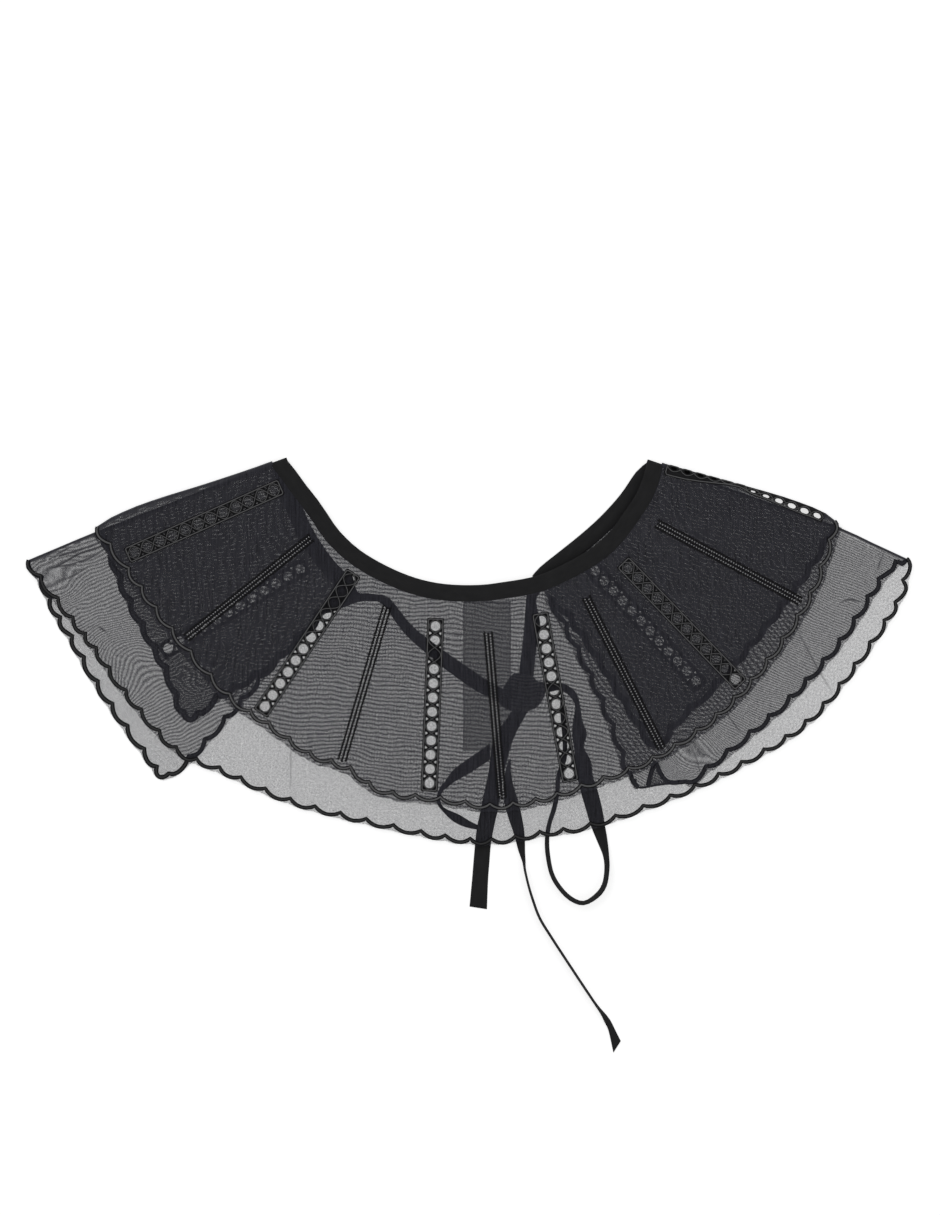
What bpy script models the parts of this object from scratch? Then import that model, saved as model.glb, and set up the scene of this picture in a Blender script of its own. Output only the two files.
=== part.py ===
"""A two-tier organza cape collar, laid flat with both ends folded behind and its ties in a bow.

Sizes and places are in millimetres and become metres when a mesh is made. Places are on the table:
x to the right and y away from the hem, from the middle of the laid collar, and z up from the table.
"""
import math

import bmesh
import bpy
from mathutils import Vector
from mathutils.geometry import delaunay_2d_cdt

MM = 0.001
GAP = 0.3
WALL = 1.0
RAISED = 1.4
BAND_WIDTH = 10.5
BAND_WALL = 2 * WALL + GAP

# The plies of a fold face each other across its middle, and its bend is a flattened half round:
# half the height between the plies, and how far the bend's inner side reaches out.
FOLD_MIDDLE = 3.2
UPPER_BEND = {"half": 2.2, "reach": 0.8}
LOWER_BEND = {"half": 0.9, "reach": 0.5}
BAND_BEND = {"half": 0.9, "reach": 0.9}
BEND_STEPS = 4

# Scalloped edges: how far a scallop's cord bulges past its cusps, the cloth outside the middle of
# the cord, and the same at the corner of a wing.
SCALLOP_DEPTH = 3.0
SCALLOP_SIDES = 4
EDGE_MARGIN = 1.0
CORNER_DEPTH = {"upper": 5.0, "lower": 6.0}
RIM_WIDTH = 2.6

# Openwork strips: a row of round holes in a raised band.
HOLE_COUNT = 12
HOLE_RADIUS = 3.0
HOLE_SIDES = 8
STRIP_HALF_WIDTH = 5.4
STRIP_END = 5.2
STRIP_SLOPE = 1.0
STRIP_SPANS = 4
FOLD_HOLE_FIRST = 17.5
FOLD_HOLE_PITCH = 8.7
FOLD_HOLE_INSET = 1.95
FOLD_HOLE_RADII = (2.7, 1.65)

NECK_STEP = 8.0
FILL_TOLERANCE = 0.0001
WELD = 0.00001

# The neck edge of the binding, between the folds: x, y.
NECK_FRONT = (
    (-109.3, 178.3), (-102.4, 168.8), (-95.4, 160.0), (-88.5, 149.9), (-81.6, 140.2),
    (-69.0, 128.5), (-52.0, 118.4), (-33.7, 110.9), (-15.4, 107.1), (5.4, 106.5),
    (21.7, 108.4), (38.1, 111.2), (49.5, 115.0), (67.7, 124.1), (81.0, 133.1),
    (90.1, 142.4), (99.2, 155.0), (104.9, 163.8), (109.3, 174.5),
)
NECK_BACK = {
    "left": (
        (-111.2, 173.9), (-107.4, 161.9), (-103.0, 150.6), (-97.3, 139.2),
        (-90.4, 128.5), (-83.5, 119.7), (-76.4, 112.6),
    ),
    "right": (
        (104.9, 177.7), (94.8, 163.2), (82.2, 149.3), (69.6, 138.0),
        (57.0, 127.9), (44.4, 117.8), (39.4, 112.1),
    ),
}

# The folded edge of each tier as it shows from above, from the neck to the hem: x, y.
UPPER_FOLD = {
    "left": (
        (-115.6, 187.7), (-135.1, 180.6), (-154.0, 174.2), (-172.3, 168.3),
        (-190.6, 162.7), (-209.5, 156.2), (-225.9, 148.9), (-233.5, 144.0),
    ),
    "right": (
        (112.5, 186.5), (123.2, 182.9), (142.1, 177.6), (160.3, 172.6), (178.6, 167.6),
        (197.5, 162.1), (215.8, 155.6), (224.3, 151.6), (230.2, 147.0),
    ),
}
LOWER_FOLD = {
    "left": (
        (-115.1, 186.5), (-134.5, 179.2), (-154.0, 171.8), (-194.0, 156.0),
        (-234.0, 140.5), (-255.9, 131.4), (-277.5, 122.3),
    ),
    "right": (
        (112.0, 185.3), (123.2, 181.3), (153.0, 171.0), (193.0, 157.0),
        (232.2, 143.0), (253.6, 133.1), (275.0, 123.2),
    ),
}

# Cusps of the scalloped edges: x, y, and the scallops from there to the next row. The first row of
# a hem, and the last of a front hem, is moved to the end of the fold it meets.
UPPER_HEM = (
    (229.6, 146.8, 3), (213.8, 102.1, 3), (186.8, 59.9, 3), (155.0, 25.6, 3), (115.1, -1.3, 3),
    (70.4, -19.0, 2), (41.5, -27.8, 2), (12.9, -31.1, 2), (-18.3, -26.8, 2), (-48.0, -23.5, 1),
    (-63.1, -17.3, 1), (-75.0, -7.9, 2), (-100.5, 2.0, 2), (-125.9, 20.2, 2), (-150.9, 38.2, 3),
    (-186.8, 79.4, 3), (-214.2, 117.2, 2), (-234.0, 143.0, 0),
)
LOWER_HEM = (
    (275.0, 123.2, 1), (272.5, 109.7, 1), (267.7, 95.6, 3), (242.0, 57.0, 3), (211.4, 21.2, 3),
    (171.1, -4.6, 3), (126.3, -25.7, 3), (76.2, -43.3, 2), (44.2, -48.6, 2), (13.9, -53.2, 2),
    (-15.4, -50.9, 3), (-65.0, -40.5, 3), (-112.8, -27.7, 3), (-157.2, -8.0, 2), (-184.5, 4.6, 3),
    (-216.0, 40.3, 2), (-234.7, 67.1, 2), (-249.5, 86.3, 3), (-277.5, 122.2, 0),
)
UPPER_WING_HEM = {
    "left": ((-229.0, 138.0, 3), (-212.9, 97.0, 3), (-190.6, 54.8, 2), (-179.9, 26.5, 0)),
    "right": (
        (228.4, 144.9, 2), (213.3, 119.1, 2), (195.6, 94.5, 2), (174.8, 68.7, 2),
        (154.7, 45.4, 2), (125.1, 17.6, 0),
    ),
}
UPPER_WING_END = {
    "left": ((-171.7, 25.8, 1), (-159.1, 37.2, 2), (-135.8, 51.0, 2), (-106.8, 75.0, 2), (-88.5, 99.0, 0)),
    "right": ((116.2, 5.7, 2), (99.2, 34.0, 2), (82.2, 61.7, 2), (64.6, 86.9, 1), (53.0, 99.0, 0)),
}
LOWER_WING_HEM = {
    "left": (
        (-277.5, 121.9, 1), (-269.3, 111.5, 1), (-263.7, 98.9, 1), (-257.7, 86.3, 1),
        (-250.1, 74.3, 2), (-234.0, 46.0, 2), (-215.3, 17.9, 2), (-196.7, -7.6, 0),
    ),
    "right": (
        (275.0, 123.2, 1), (268.1, 121.6, 1), (257.4, 110.2, 3), (232.7, 72.3, 3), (201.3, 36.5, 2),
        (176.3, 14.4, 2), (149.0, -7.6, 1), (134.8, -16.3, 1), (108.0, -18.9, 0),
    ),
}
LOWER_WING_END = {
    "left": ((-189.4, -12.2, 1), (-176.8, -1.3, 2), (-154.4, 23.5, 3), (-121.3, 61.7, 3), (-88.5, 98.0, 0)),
    "right": ((101.7, -12.0, 2), (91.0, 18.9, 2), (77.2, 51.0, 2), (61.4, 81.9, 1), (51.5, 99.5, 0)),
}

# Middles of the first and last hole of each openwork strip: x, y, x, y.
FRONT_STRIPS = (
    (-121.3, 166.3, -208.2, 130.4),
    (-74.7, 111.5, -130.1, 30.2),
    (-21.4, 80.6, -25.2, -18.3),
    (46.3, 83.8, 62.7, -13.2),
    (99.9, 117.2, 167.3, 47.2),
)
WING_STRIPS = {
    "left": ((-106.8, 116.5, -189.9, 66.5),),
    "right": ((79.1, 115.5, 142.7, 46.0),),
}

LABEL = {"left": -4.1, "right": 26.1, "top": 96.5, "bottom": 1.9, "under": 2.8}

KNOT = (
    (20.8, 41.0), (26.8, 50.1), (31.8, 50.7), (40.0, 49.1), (42.5, 45.7), (46.9, 45.4),
    (47.6, 37.8), (43.2, 30.2), (36.9, 27.1), (26.1, 27.1), (20.5, 30.2), (18.3, 33.1),
)
KNOT_HEIGHT = 2.4
KNOT_ROUNDING = 0.6

# Stretches of the flat tie as it lies: x and y of one edge, x and y of the other, the height of the
# first edge above the second, and the height of the second above the table.
TIES = {
    "tie_lead_left": (
        (-75.9, 111.4, -83.7, 104.6, 0, 0), (-73.2, 106.0, -81.0, 99.0, 0, 0),
        (-70.0, 101.6, -76.0, 95.6, 0, 0), (-60.8, 100.8, -62.1, 96.2, 0, 0),
        (-50.7, 98.3, -54.5, 93.9, 0, 0), (-36.5, 81.3, -41.3, 76.2, 0, 0),
        (-21.7, 69.3, -26.8, 63.0, 0, 0), (-7.6, 59.2, -12.9, 51.7, 0, 0),
        (8.2, 48.5, 2.8, 40.6, 0, 0), (20.0, 41.6, 17.6, 33.2, 0, 0),
    ),
    "tie_lead_right": (
        (39.1, 111.7, 46.8, 104.8, 0, 0), (36.2, 104.0, 43.8, 100.8, 0, 0),
        (35.6, 97.0, 42.5, 96.4, 0, 0), (34.7, 81.3, 41.9, 81.3, 0, 0),
        (34.0, 68.7, 41.3, 68.7, 0, 0), (32.3, 51.3, 39.8, 49.8, 0, 0),
    ),
    "bow_loop_right": (
        (48.1, 44.4, 48.4, 38.5, 0, 0), (57.6, 44.7, 57.0, 40.3, 1, 0),
        (63.9, 41.9, 60.8, 38.4, 1.5, 0), (67.7, 37.8, 64.3, 35.0, 1.5, 0),
        (69.9, 29.6, 66.5, 29.6, 1, 0), (71.2, 20.8, 65.2, 20.8, 0, 0),
        (74.0, 12.6, 64.6, 12.6, 0, 0), (72.1, 4.4, 65.8, 4.4, 0, 0),
        (76.5, -4.4, 66.5, -4.4, 0, 0), (77.5, -13.2, 67.7, -13.2, 0, 0),
        (80.3, -21.4, 69.6, -22.1, 0, 0), (83.5, -34.0, 73.4, -35.3, 0, 0),
        (85.2, -44.1, 76.5, -45.4, 0.5, 0), (86.8, -53.5, 80.3, -54.8, 1.5, 0),
        (87.9, -64.3, 84.1, -64.3, 4, 0), (87.9, -73.1, 85.0, -72.5, 7, 0),
        (86.0, -83.2, 83.5, -81.9, 8, 0), (80.8, -90.2, 79.0, -88.2, 8, 0),
        (71.8, -94.8, 71.8, -92.6, 8, 0), (63.1, -92.0, 64.3, -89.8, 8, 0),
        (55.7, -84.7, 57.7, -83.2, 8, 0), (50.6, -75.9, 53.0, -74.9, 6, 0),
        (48.0, -64.3, 50.8, -64.3, 4, 0), (47.4, -54.2, 50.2, -54.2, 2, 0),
        (48.6, -44.7, 51.5, -44.7, 2, 0), (51.8, -34.0, 54.7, -34.7, 2, 0),
        (53.7, -25.2, 56.5, -25.8, 2, 0), (54.6, -13.9, 57.5, -14.5, 2, 0),
        (58.1, -2.5, 61.2, -3.2, 2, 0), (58.7, 5.7, 61.6, 5.7, 2, 0),
        (58.1, 14.5, 61.0, 14.5, 2, 0), (57.4, 22.7, 60.4, 22.7, 2, 0),
        (57.0, 30.2, 60.0, 30.2, 1.5, 0), (57.4, 37.0, 60.0, 35.6, 1, 0),
    ),
    "bow_loop_left": (
        (13.0, 6.9, 13.0, -3.5, 0, 0), (5.4, 1.3, 4.1, -9.5, 0, 0),
        (-2.8, -4.4, -3.5, -14.2, 0, 0), (-10.4, -10.1, -9.1, -17.3, 0.5, 0),
        (-15.4, -17.0, -13.2, -20.5, 1.5, 0), (-18.9, -21.4, -16.7, -23.3, 2, 0),
        (-20.5, -25.8, -18.3, -26.5, 2, 0), (-20.5, -30.9, -18.3, -30.2, 2, 0),
        (-18.0, -34.7, -16.1, -33.7, 2, 0), (-14.8, -38.4, -11.0, -36.2, 1.5, 0),
        (-9.8, -42.8, -6.0, -38.4, 0.5, 0), (-2.8, -46.0, -0.3, -41.9, 0, 0),
        (4.7, -47.6, 5.4, -44.7, 0, 0), (10.4, -47.6, 10.4, -44.7, 0, 0),
    ),
    "tie_tail_wide": (
        (26.3, 26.6, 36.6, 26.6, 0, 0), (18.9, 15.8, 29.9, 14.5, 0, 0),
        (14.9, 8.2, 26.5, 6.3, 0, 0), (13.4, 0.6, 24.3, -1.9, 0, 0),
        (12.6, -7.0, 22.4, -8.8, 0, 0), (11.0, -16.4, 20.8, -17.6, 0, 0),
        (8.5, -27.1, 19.2, -28.4, 0, 0), (6.6, -37.2, 17.6, -36.5, 0, 1.3),
        (4.7, -46.0, 15.8, -44.1, 0, 1.3), (3.5, -56.7, 13.5, -56.7, 0, 0.4),
        (2.5, -67.7, 12.6, -67.7, 0, 0), (1.6, -78.8, 11.7, -79.4, 0, 0),
        (0.0, -96.1, 11.0, -97.8, 0, 0),
    ),
    "tie_tail_narrow": (
        (24.8, -3.4, 26.1, -3.1, 0, 0), (23.1, -8.8, 26.1, -10.1, 0, 0),
        (21.5, -17.6, 27.4, -18.9, 0, 0), (21.2, -26.5, 30.2, -28.0, 0, 0),
        (23.9, -38.4, 32.8, -38.4, 0, 0), (28.0, -50.7, 34.7, -50.4, 0.5, 0),
        (30.9, -61.4, 35.0, -60.5, 2, 0), (33.4, -68.0, 35.2, -68.0, 4, 0),
        (34.3, -73.1, 35.4, -72.5, 6, 0), (36.5, -82.5, 37.6, -82.2, 7, 0),
        (39.1, -91.4, 40.2, -90.7, 7, 0), (43.7, -103.6, 44.8, -103.0, 7, 0),
        (52.1, -117.2, 53.1, -116.6, 7, 0), (61.5, -131.6, 62.5, -131.0, 7, 0),
        (71.0, -146.0, 72.0, -145.4, 7, 0), (79.1, -158.1, 80.2, -157.5, 6, 0),
        (82.5, -163.4, 84.4, -162.4, 5, 0), (85.0, -168.8, 88.5, -167.3, 3, 0),
        (87.6, -174.5, 92.3, -174.8, 1, 0), (90.6, -188.2, 95.3, -180.8, 0, 0),
    ),
}
TIE_SPAN_STEP = 9.0

BLACK_ORGANZA = {"colour": (0.022, 0.022, 0.024), "roughness": 0.55}
BLACK_CLOTH = {"colour": (0.012, 0.012, 0.013), "roughness": 0.75}
BLACK_TAPE = {"colour": (0.03, 0.03, 0.033), "roughness": 0.6}


def clear_objects():
    for old in list(bpy.data.objects):
        bpy.data.objects.remove(old, do_unlink=True)


def material(name, look):
    made = bpy.data.materials.new(name)
    made.use_nodes = True
    shader = made.node_tree.nodes["Principled BSDF"]
    shader.inputs["Base Color"].default_value = (*look["colour"], 1.0)
    shader.inputs["Roughness"].default_value = look["roughness"]
    shader.inputs["Metallic"].default_value = 0.0
    return made


def add_object(name, mesh, look, collection):
    """An object in the collar's collection, from a bmesh in millimetres."""
    bmesh.ops.scale(mesh, vec=(MM, MM, MM), verts=mesh.verts)
    data = bpy.data.meshes.new(name)
    mesh.to_mesh(data)
    mesh.free()
    data.materials.append(material(name, look))
    made = bpy.data.objects.new(name, data)
    collection.objects.link(made)
    return made


def solidify(piece, thickness):
    """Grow the wall outwards from its inner side, by the weights of its vertex group where it has one."""
    wall = piece.modifiers.new("wall", "SOLIDIFY")
    wall.thickness = thickness * MM
    wall.offset = 1.0
    wall.use_even_offset = True
    wall.use_quality_normals = True
    if piece.vertex_groups:
        wall.vertex_group = piece.vertex_groups[0].name


def face_outwards(mesh):
    """Turn an open surface so that its highest flat faces look up."""
    bmesh.ops.recalc_face_normals(mesh, faces=mesh.faces)
    highest = max(mesh.faces, key=lambda face: (face.calc_center_median().z, face.calc_area()))
    if highest.normal.z < 0:
        bmesh.ops.reverse_faces(mesh, faces=mesh.faces)


def spline_point(points, span, t):
    """A point of the smooth curve through the points, and the curve's direction there."""
    last = len(points) - 1
    a, b, c, d = (Vector(points[min(max(span + k, 0), last)]) for k in (-1, 0, 1, 2))
    place = 0.5 * (2 * b + (c - a) * t + (2 * a - 5 * b + 4 * c - d) * t ** 2 + (3 * b - a - 3 * c + d) * t ** 3)
    heading = 0.5 * ((c - a) + 2 * (2 * a - 5 * b + 4 * c - d) * t + 3 * (3 * b - a - 3 * c + d) * t ** 2)
    return place, heading.normalized()


def smooth_line(points, step):
    """Places and directions along the smooth curve, the span ends among them."""
    made = []
    for span in range(len(points) - 1):
        length = (Vector(points[span + 1]) - Vector(points[span])).length
        count = max(1, round(length / step))
        made += [spline_point(points, span, k / count) for k in range(count)]
    made.append(spline_point(points, len(points) - 2, 1.0))
    return made


def left_of(direction):
    return Vector((-direction.y, direction.x))


def vertex_normals(line):
    """The left-hand normals at the points of a line."""
    made = []
    for i in range(len(line)):
        before = line[max(i - 1, 0)]
        after = line[min(i + 1, len(line) - 1)]
        made.append(left_of((after - before).normalized()))
    return made


def trimmed(line, start):
    """What is left of a line after a distance along it."""
    for i in range(len(line) - 1):
        length = (line[i + 1] - line[i]).length
        if start < length:
            return [line[i].lerp(line[i + 1], start / length)] + line[i + 1:]
        start -= length
    return line[-1:]


def outward_normals(line, side):
    return [n * (-1 if side == "left" else 1) for n in vertex_normals(line)]


def fold_axes(folds, bend, wall):
    """The line along each fold where its flat plies end and its bend starts."""
    axes = {}
    for side, shown in folds.items():
        line = [Vector(p) for p in shown]
        inset = bend["reach"] + wall
        axes[side] = [p - n * inset for p, n in zip(line, outward_normals(line, side))]
    return axes


def scallops(rows, turn, depth=SCALLOP_DEPTH):
    """A scalloped edge through its cusps, with each point's outward normal."""
    cusps = [row[:2] for row in rows]
    made = []
    for span, row in enumerate(rows[:-1]):
        steps = row[2] * SCALLOP_SIDES
        for k in range(steps):
            place, heading = spline_point(cusps, span, k / steps)
            normal = left_of(heading) * turn
            bulge = depth * math.sin(math.pi * (k % SCALLOP_SIDES) / SCALLOP_SIDES)
            made.append((place + normal * (bulge + EDGE_MARGIN), normal, k % SCALLOP_SIDES))
    return made


def rim_line(edge):
    """The inner line of an edge's corded rim, with a point at each cusp and each crown."""
    return [place - normal * RIM_WIDTH for place, normal, k in edge if k % (SCALLOP_SIDES // 2) == 0]


def ring(middle, along, radii):
    """A hole's corners, with the first radius along the given direction."""
    across = left_of(along)
    corners = []
    for k in range(HOLE_SIDES):
        angle = 2 * math.pi * (k + 0.5) / HOLE_SIDES
        corners.append(middle + along * radii[0] * math.cos(angle) + across * radii[1] * math.sin(angle))
    return corners


def strip_openwork(strip):
    """The holes of a strip, its raised border and the foot of the border's slope."""
    first = Vector(strip[:2])
    last = Vector(strip[2:])
    along = (last - first).normalized()
    across = left_of(along)
    holes = [
        ring(first.lerp(last, k / (HOLE_COUNT - 1)), along, (HOLE_RADIUS, HOLE_RADIUS))
        for k in range(HOLE_COUNT)
    ]
    borders = []
    for spread in (0.0, STRIP_SLOPE):
        start = first - along * (STRIP_END + spread)
        end = last + along * (STRIP_END + spread)
        half = across * (STRIP_HALF_WIDTH + spread)
        side = [start.lerp(end, k / STRIP_SPANS) for k in range(STRIP_SPANS + 1)]
        borders.append([p + half for p in side] + [p - half for p in reversed(side)])
    return holes, borders[0], borders[1]


def fold_holes(axis, side):
    """The holes of the strip that lies along a fold, narrowed by the bend."""
    made = []
    for k in range(HOLE_COUNT):
        line = trimmed(axis, FOLD_HOLE_FIRST + FOLD_HOLE_PITCH * k)
        along = (line[1] - line[0]).normalized()
        outward = left_of(along) * (-1 if side == "left" else 1)
        made.append(ring(line[0] - outward * FOLD_HOLE_INSET, along, FOLD_HOLE_RADII))
    return made


class Ply:
    """A flat ply: its outline, holes and inner lines, each point with its share of the raised wall."""

    def __init__(self):
        self.points = []
        self.edges = []
        self.loops = []
        self.shares = []
        self.plain = WALL / RAISED

    def add_line(self, places, share, closed=False):
        start = len(self.points)
        self.points += places
        self.shares += share if isinstance(share, list) else [share] * len(places)
        count = len(places)
        self.edges += [(start + k, start + (k + 1) % count) for k in range(count if closed else count - 1)]
        return list(range(start, start + count))

    def add_loop(self, places, share):
        """A closed outline, which the filling needs counter-clockwise."""
        loop = self.add_line(places, share, closed=True)
        turned = sum(a.cross(b) for a, b in zip(places, places[1:] + places[:1])) < 0
        self.loops.append(loop[::-1] if turned else loop)

    def add_strip(self, strip, raised):
        holes, border, foot = strip_openwork(strip)
        share = 1.0 if raised else self.plain
        for hole in holes:
            self.add_loop(hole, share)
        if raised:
            self.add_line(border, share, closed=True)
            self.add_line(foot, self.plain, closed=True)

    def fill(self):
        """Triangles inside the first loop and outside the others."""
        result = delaunay_2d_cdt(self.points, self.edges, self.loops, 1, FILL_TOLERANCE, True)
        places, triangles, sources, owners = result[0], result[2], result[3], result[5]
        shares = [max((self.shares[s] for s in source), default=self.plain) for source in sources]
        kept = [t for t, owner in zip(triangles, owners) if owner and all(o == 0 for o in owner)]
        return places, kept, shares


def add_ply(mesh, ply, z):
    """Add a filled ply to the tier's inner surface at height z."""
    layer = mesh.verts.layers.deform.verify()
    places, triangles, shares = ply.fill()
    used = sorted({i for t in triangles for i in t})
    verts = {}
    for i in used:
        verts[i] = mesh.verts.new((places[i].x, places[i].y, z))
        verts[i][layer][0] = shares[i]
    for t in triangles:
        mesh.faces.new([verts[i] for i in t])


def add_bend(mesh, axis, side, bend, plain):
    """The half-round bend that joins the front ply to the wing behind it."""
    layer = mesh.verts.layers.deform.verify()
    outward = outward_normals(axis, side)
    rows = []
    for step in range(BEND_STEPS + 1):
        angle = math.pi * step / BEND_STEPS
        row = []
        for place, normal in zip(axis, outward):
            flat = place + normal * bend["reach"] * math.sin(angle)
            vert = mesh.verts.new((flat.x, flat.y, FOLD_MIDDLE + bend["half"] * math.cos(angle)))
            vert[layer][0] = plain
            row.append(vert)
        rows.append(row)
    for upper, lower in zip(rows, rows[1:]):
        for k in range(len(axis) - 1):
            mesh.faces.new((upper[k], lower[k], lower[k + 1], upper[k + 1]))


def neck_sections(places, axis, turn):
    """Neck points and the directions across the band, from the fold's axis on."""
    line = [place for place, heading in smooth_line([axis[0]] + [Vector(p) for p in places], NECK_STEP)]
    across = [n * turn for n in vertex_normals(line)]
    across[0] = (axis[1] - axis[0]).normalized()
    return list(zip(line, across))


def front_sections(axes):
    """The same along the front, between the two folds."""
    points = [axes["left"][0]] + [Vector(p) for p in NECK_FRONT] + [axes["right"][0]]
    line = [place for place, heading in smooth_line(points, NECK_STEP)]
    across = [-n for n in vertex_normals(line)]
    across[0] = (axes["left"][1] - axes["left"][0]).normalized()
    across[-1] = (axes["right"][1] - axes["right"][0]).normalized()
    return list(zip(line, across))


def make_tier(name, folds, bend, hem, wing_hem, wing_end, openwork, corner_depth, collection):
    """One tier: the front ply, the bends at the shoulders and the wings folded behind."""
    band = BAND_WIDTH + GAP
    band_axes = fold_axes(UPPER_FOLD, BAND_BEND, BAND_WALL)
    axes = fold_axes(folds, bend, WALL)
    mesh = bmesh.new()
    neck = [place + across * band for place, across in front_sections(band_axes)]
    folded = {side: trimmed(axes[side], band) for side in axes}

    front = Ply()
    hem_rows = ((*folded["right"][-1], hem[0][2]), *hem[1:-1], (*folded["left"][-1], 0))
    hem_edge = scallops(hem_rows, 1)
    right_side = folded["right"]
    left_side = list(reversed(folded["left"]))
    outline = neck + right_side + [place for place, normal, k in hem_edge[1:]] + left_side
    raised = [front.plain] * (len(neck) + len(right_side)) + [1.0] * (len(hem_edge) - 1)
    front.add_loop(outline, raised + [front.plain] * len(left_side))
    front.add_line(rim_line(hem_edge)[1:], front.plain)
    if openwork:
        for strip in FRONT_STRIPS:
            front.add_strip(strip, raised=True)
        for hole in fold_holes(axes["right"], "right"):
            front.add_loop(hole, front.plain)
    add_ply(mesh, front, FOLD_MIDDLE + bend["half"])

    for side, turn in (("left", -1), ("right", 1)):
        wing = Ply()
        hem_rows = ((*folded[side][-1], wing_hem[side][0][2]), *wing_hem[side][1:])
        corner = (wing_hem[side][-1][:2] + (1,), wing_end[side][0][:2] + (0,))
        edge = scallops(hem_rows, turn) + scallops(corner, turn, corner_depth) + scallops(wing_end[side], turn)
        sections = neck_sections(NECK_BACK[side], band_axes[side], turn)
        inner = [place + across * band for place, across in reversed(sections)]
        outline = folded[side] + [place for place, normal, k in edge[1:]] + inner
        wing.add_loop(outline, wing.plain)
        if openwork:
            for strip in WING_STRIPS[side]:
                wing.add_strip(strip, raised=False)
            if side == "right":
                for hole in fold_holes(axes[side], side):
                    wing.add_loop(hole, wing.plain)
        add_ply(mesh, wing, FOLD_MIDDLE - bend["half"])
        add_bend(mesh, folded[side], side, bend, wing.plain)

    bmesh.ops.remove_doubles(mesh, verts=mesh.verts, dist=WELD / MM)
    face_outwards(mesh)
    piece = add_object(name, mesh, BLACK_ORGANZA, collection)
    piece.vertex_groups.new(name="wall")
    solidify(piece, RAISED)


def make_binding(collection):
    """The neck binding: a flat band folded at both shoulders."""
    half = BAND_BEND["half"]
    axes = fold_axes(UPPER_FOLD, BAND_BEND, BAND_WALL)
    sections = []
    for place, across in reversed(neck_sections(NECK_BACK["left"], axes["left"], -1)[1:]):
        sections.append((place, across, Vector((0, 0)), FOLD_MIDDLE - half))
    for side in ("left", "right"):
        normal = outward_normals(axes[side][:2], side)[0]
        along = (axes[side][1] - axes[side][0]).normalized()
        bend = []
        for step in range(BEND_STEPS + 1):
            angle = math.pi * (1 - step / BEND_STEPS)
            out = normal * BAND_BEND["reach"] * math.sin(angle)
            bend.append((axes[side][0], along, out, FOLD_MIDDLE + half * math.cos(angle)))
        if side == "left":
            sections += bend
            for place, across in front_sections(axes)[1:-1]:
                sections.append((place, across, Vector((0, 0)), FOLD_MIDDLE + half))
        else:
            sections += reversed(bend)
    for place, across in neck_sections(NECK_BACK["right"], axes["right"], 1)[1:]:
        sections.append((place, across, Vector((0, 0)), FOLD_MIDDLE - half))

    mesh = bmesh.new()
    rows = []
    for place, across, out, z in sections:
        inner = place + out
        outer = place + out + across * BAND_WIDTH
        rows.append((mesh.verts.new((inner.x, inner.y, z)), mesh.verts.new((outer.x, outer.y, z))))
    for (inner, outer), (next_inner, next_outer) in zip(rows, rows[1:]):
        mesh.faces.new((inner, outer, next_outer, next_inner))
    face_outwards(mesh)
    solidify(add_object("neck_binding", mesh, BLACK_CLOTH, collection), BAND_WALL)


def make_label(collection):
    bpy.ops.mesh.primitive_cube_add(size=1.0)
    piece = bpy.context.object
    piece.name = "care_label"
    size = (LABEL["right"] - LABEL["left"], LABEL["top"] - LABEL["bottom"], WALL)
    middle = (
        (LABEL["right"] + LABEL["left"]) / 2,
        (LABEL["top"] + LABEL["bottom"]) / 2,
        LABEL["under"] + WALL / 2,
    )
    for vert in piece.data.vertices:
        vert.co = Vector([(vert.co[k] * size[k] + middle[k]) * MM for k in range(3)])
    piece.data.materials.append(material("care_label", BLACK_TAPE))
    for other in list(piece.users_collection):
        other.objects.unlink(piece)
    collection.objects.link(piece)


def make_knot(collection):
    """The knot of the bow: a flat lump with its upper edge rounded."""
    mesh = bmesh.new()
    base = mesh.faces.new([mesh.verts.new((x, y, 0)) for x, y in KNOT])
    base.normal_update()
    if base.normal.z > 0:
        base.normal_flip()
    grown = bmesh.ops.extrude_face_region(mesh, geom=[base])
    top = [item for item in grown["geom"] if isinstance(item, bmesh.types.BMVert)]
    bmesh.ops.translate(mesh, verts=top, vec=(0, 0, KNOT_HEIGHT))
    bmesh.ops.recalc_face_normals(mesh, faces=mesh.faces)
    upper = [e for e in mesh.edges if all(v.co.z > KNOT_HEIGHT / 2 for v in e.verts)]
    bmesh.ops.bevel(mesh, geom=upper, offset=KNOT_ROUNDING, segments=2, affect="EDGES", profile=0.5)
    add_object("bow_knot", mesh, BLACK_CLOTH, collection)


def make_tie(name, rows, collection):
    """A stretch of the flat tie, lofted between its two edges."""
    mesh = bmesh.new()
    edge_pairs = []
    points = [Vector(row) for row in rows]
    for place, heading in smooth_line(points, TIE_SPAN_STEP):
        x1, y1, x2, y2, rise, lift = place
        low = max(lift, 0.0)
        first = mesh.verts.new((x1, y1, low + max(rise, 0.0)))
        edge_pairs.append((first, mesh.verts.new((x2, y2, low))))
    for (a, b), (c, d) in zip(edge_pairs, edge_pairs[1:]):
        mesh.faces.new((a, b, d, c))
    face_outwards(mesh)
    solidify(add_object(name, mesh, BLACK_CLOTH, collection), WALL)


def main():
    clear_objects()
    collection = bpy.data.collections.new("detachable_collar")
    bpy.context.scene.collection.children.link(collection)
    make_tier(
        "upper_tier", UPPER_FOLD, UPPER_BEND, UPPER_HEM, UPPER_WING_HEM, UPPER_WING_END, True,
        CORNER_DEPTH["upper"], collection,
    )
    make_tier(
        "lower_tier", LOWER_FOLD, LOWER_BEND, LOWER_HEM, LOWER_WING_HEM, LOWER_WING_END, False,
        CORNER_DEPTH["lower"], collection,
    )
    make_binding(collection)
    make_label(collection)
    make_knot(collection)
    for name, rows in TIES.items():
        make_tie(name, rows, collection)


main()
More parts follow.
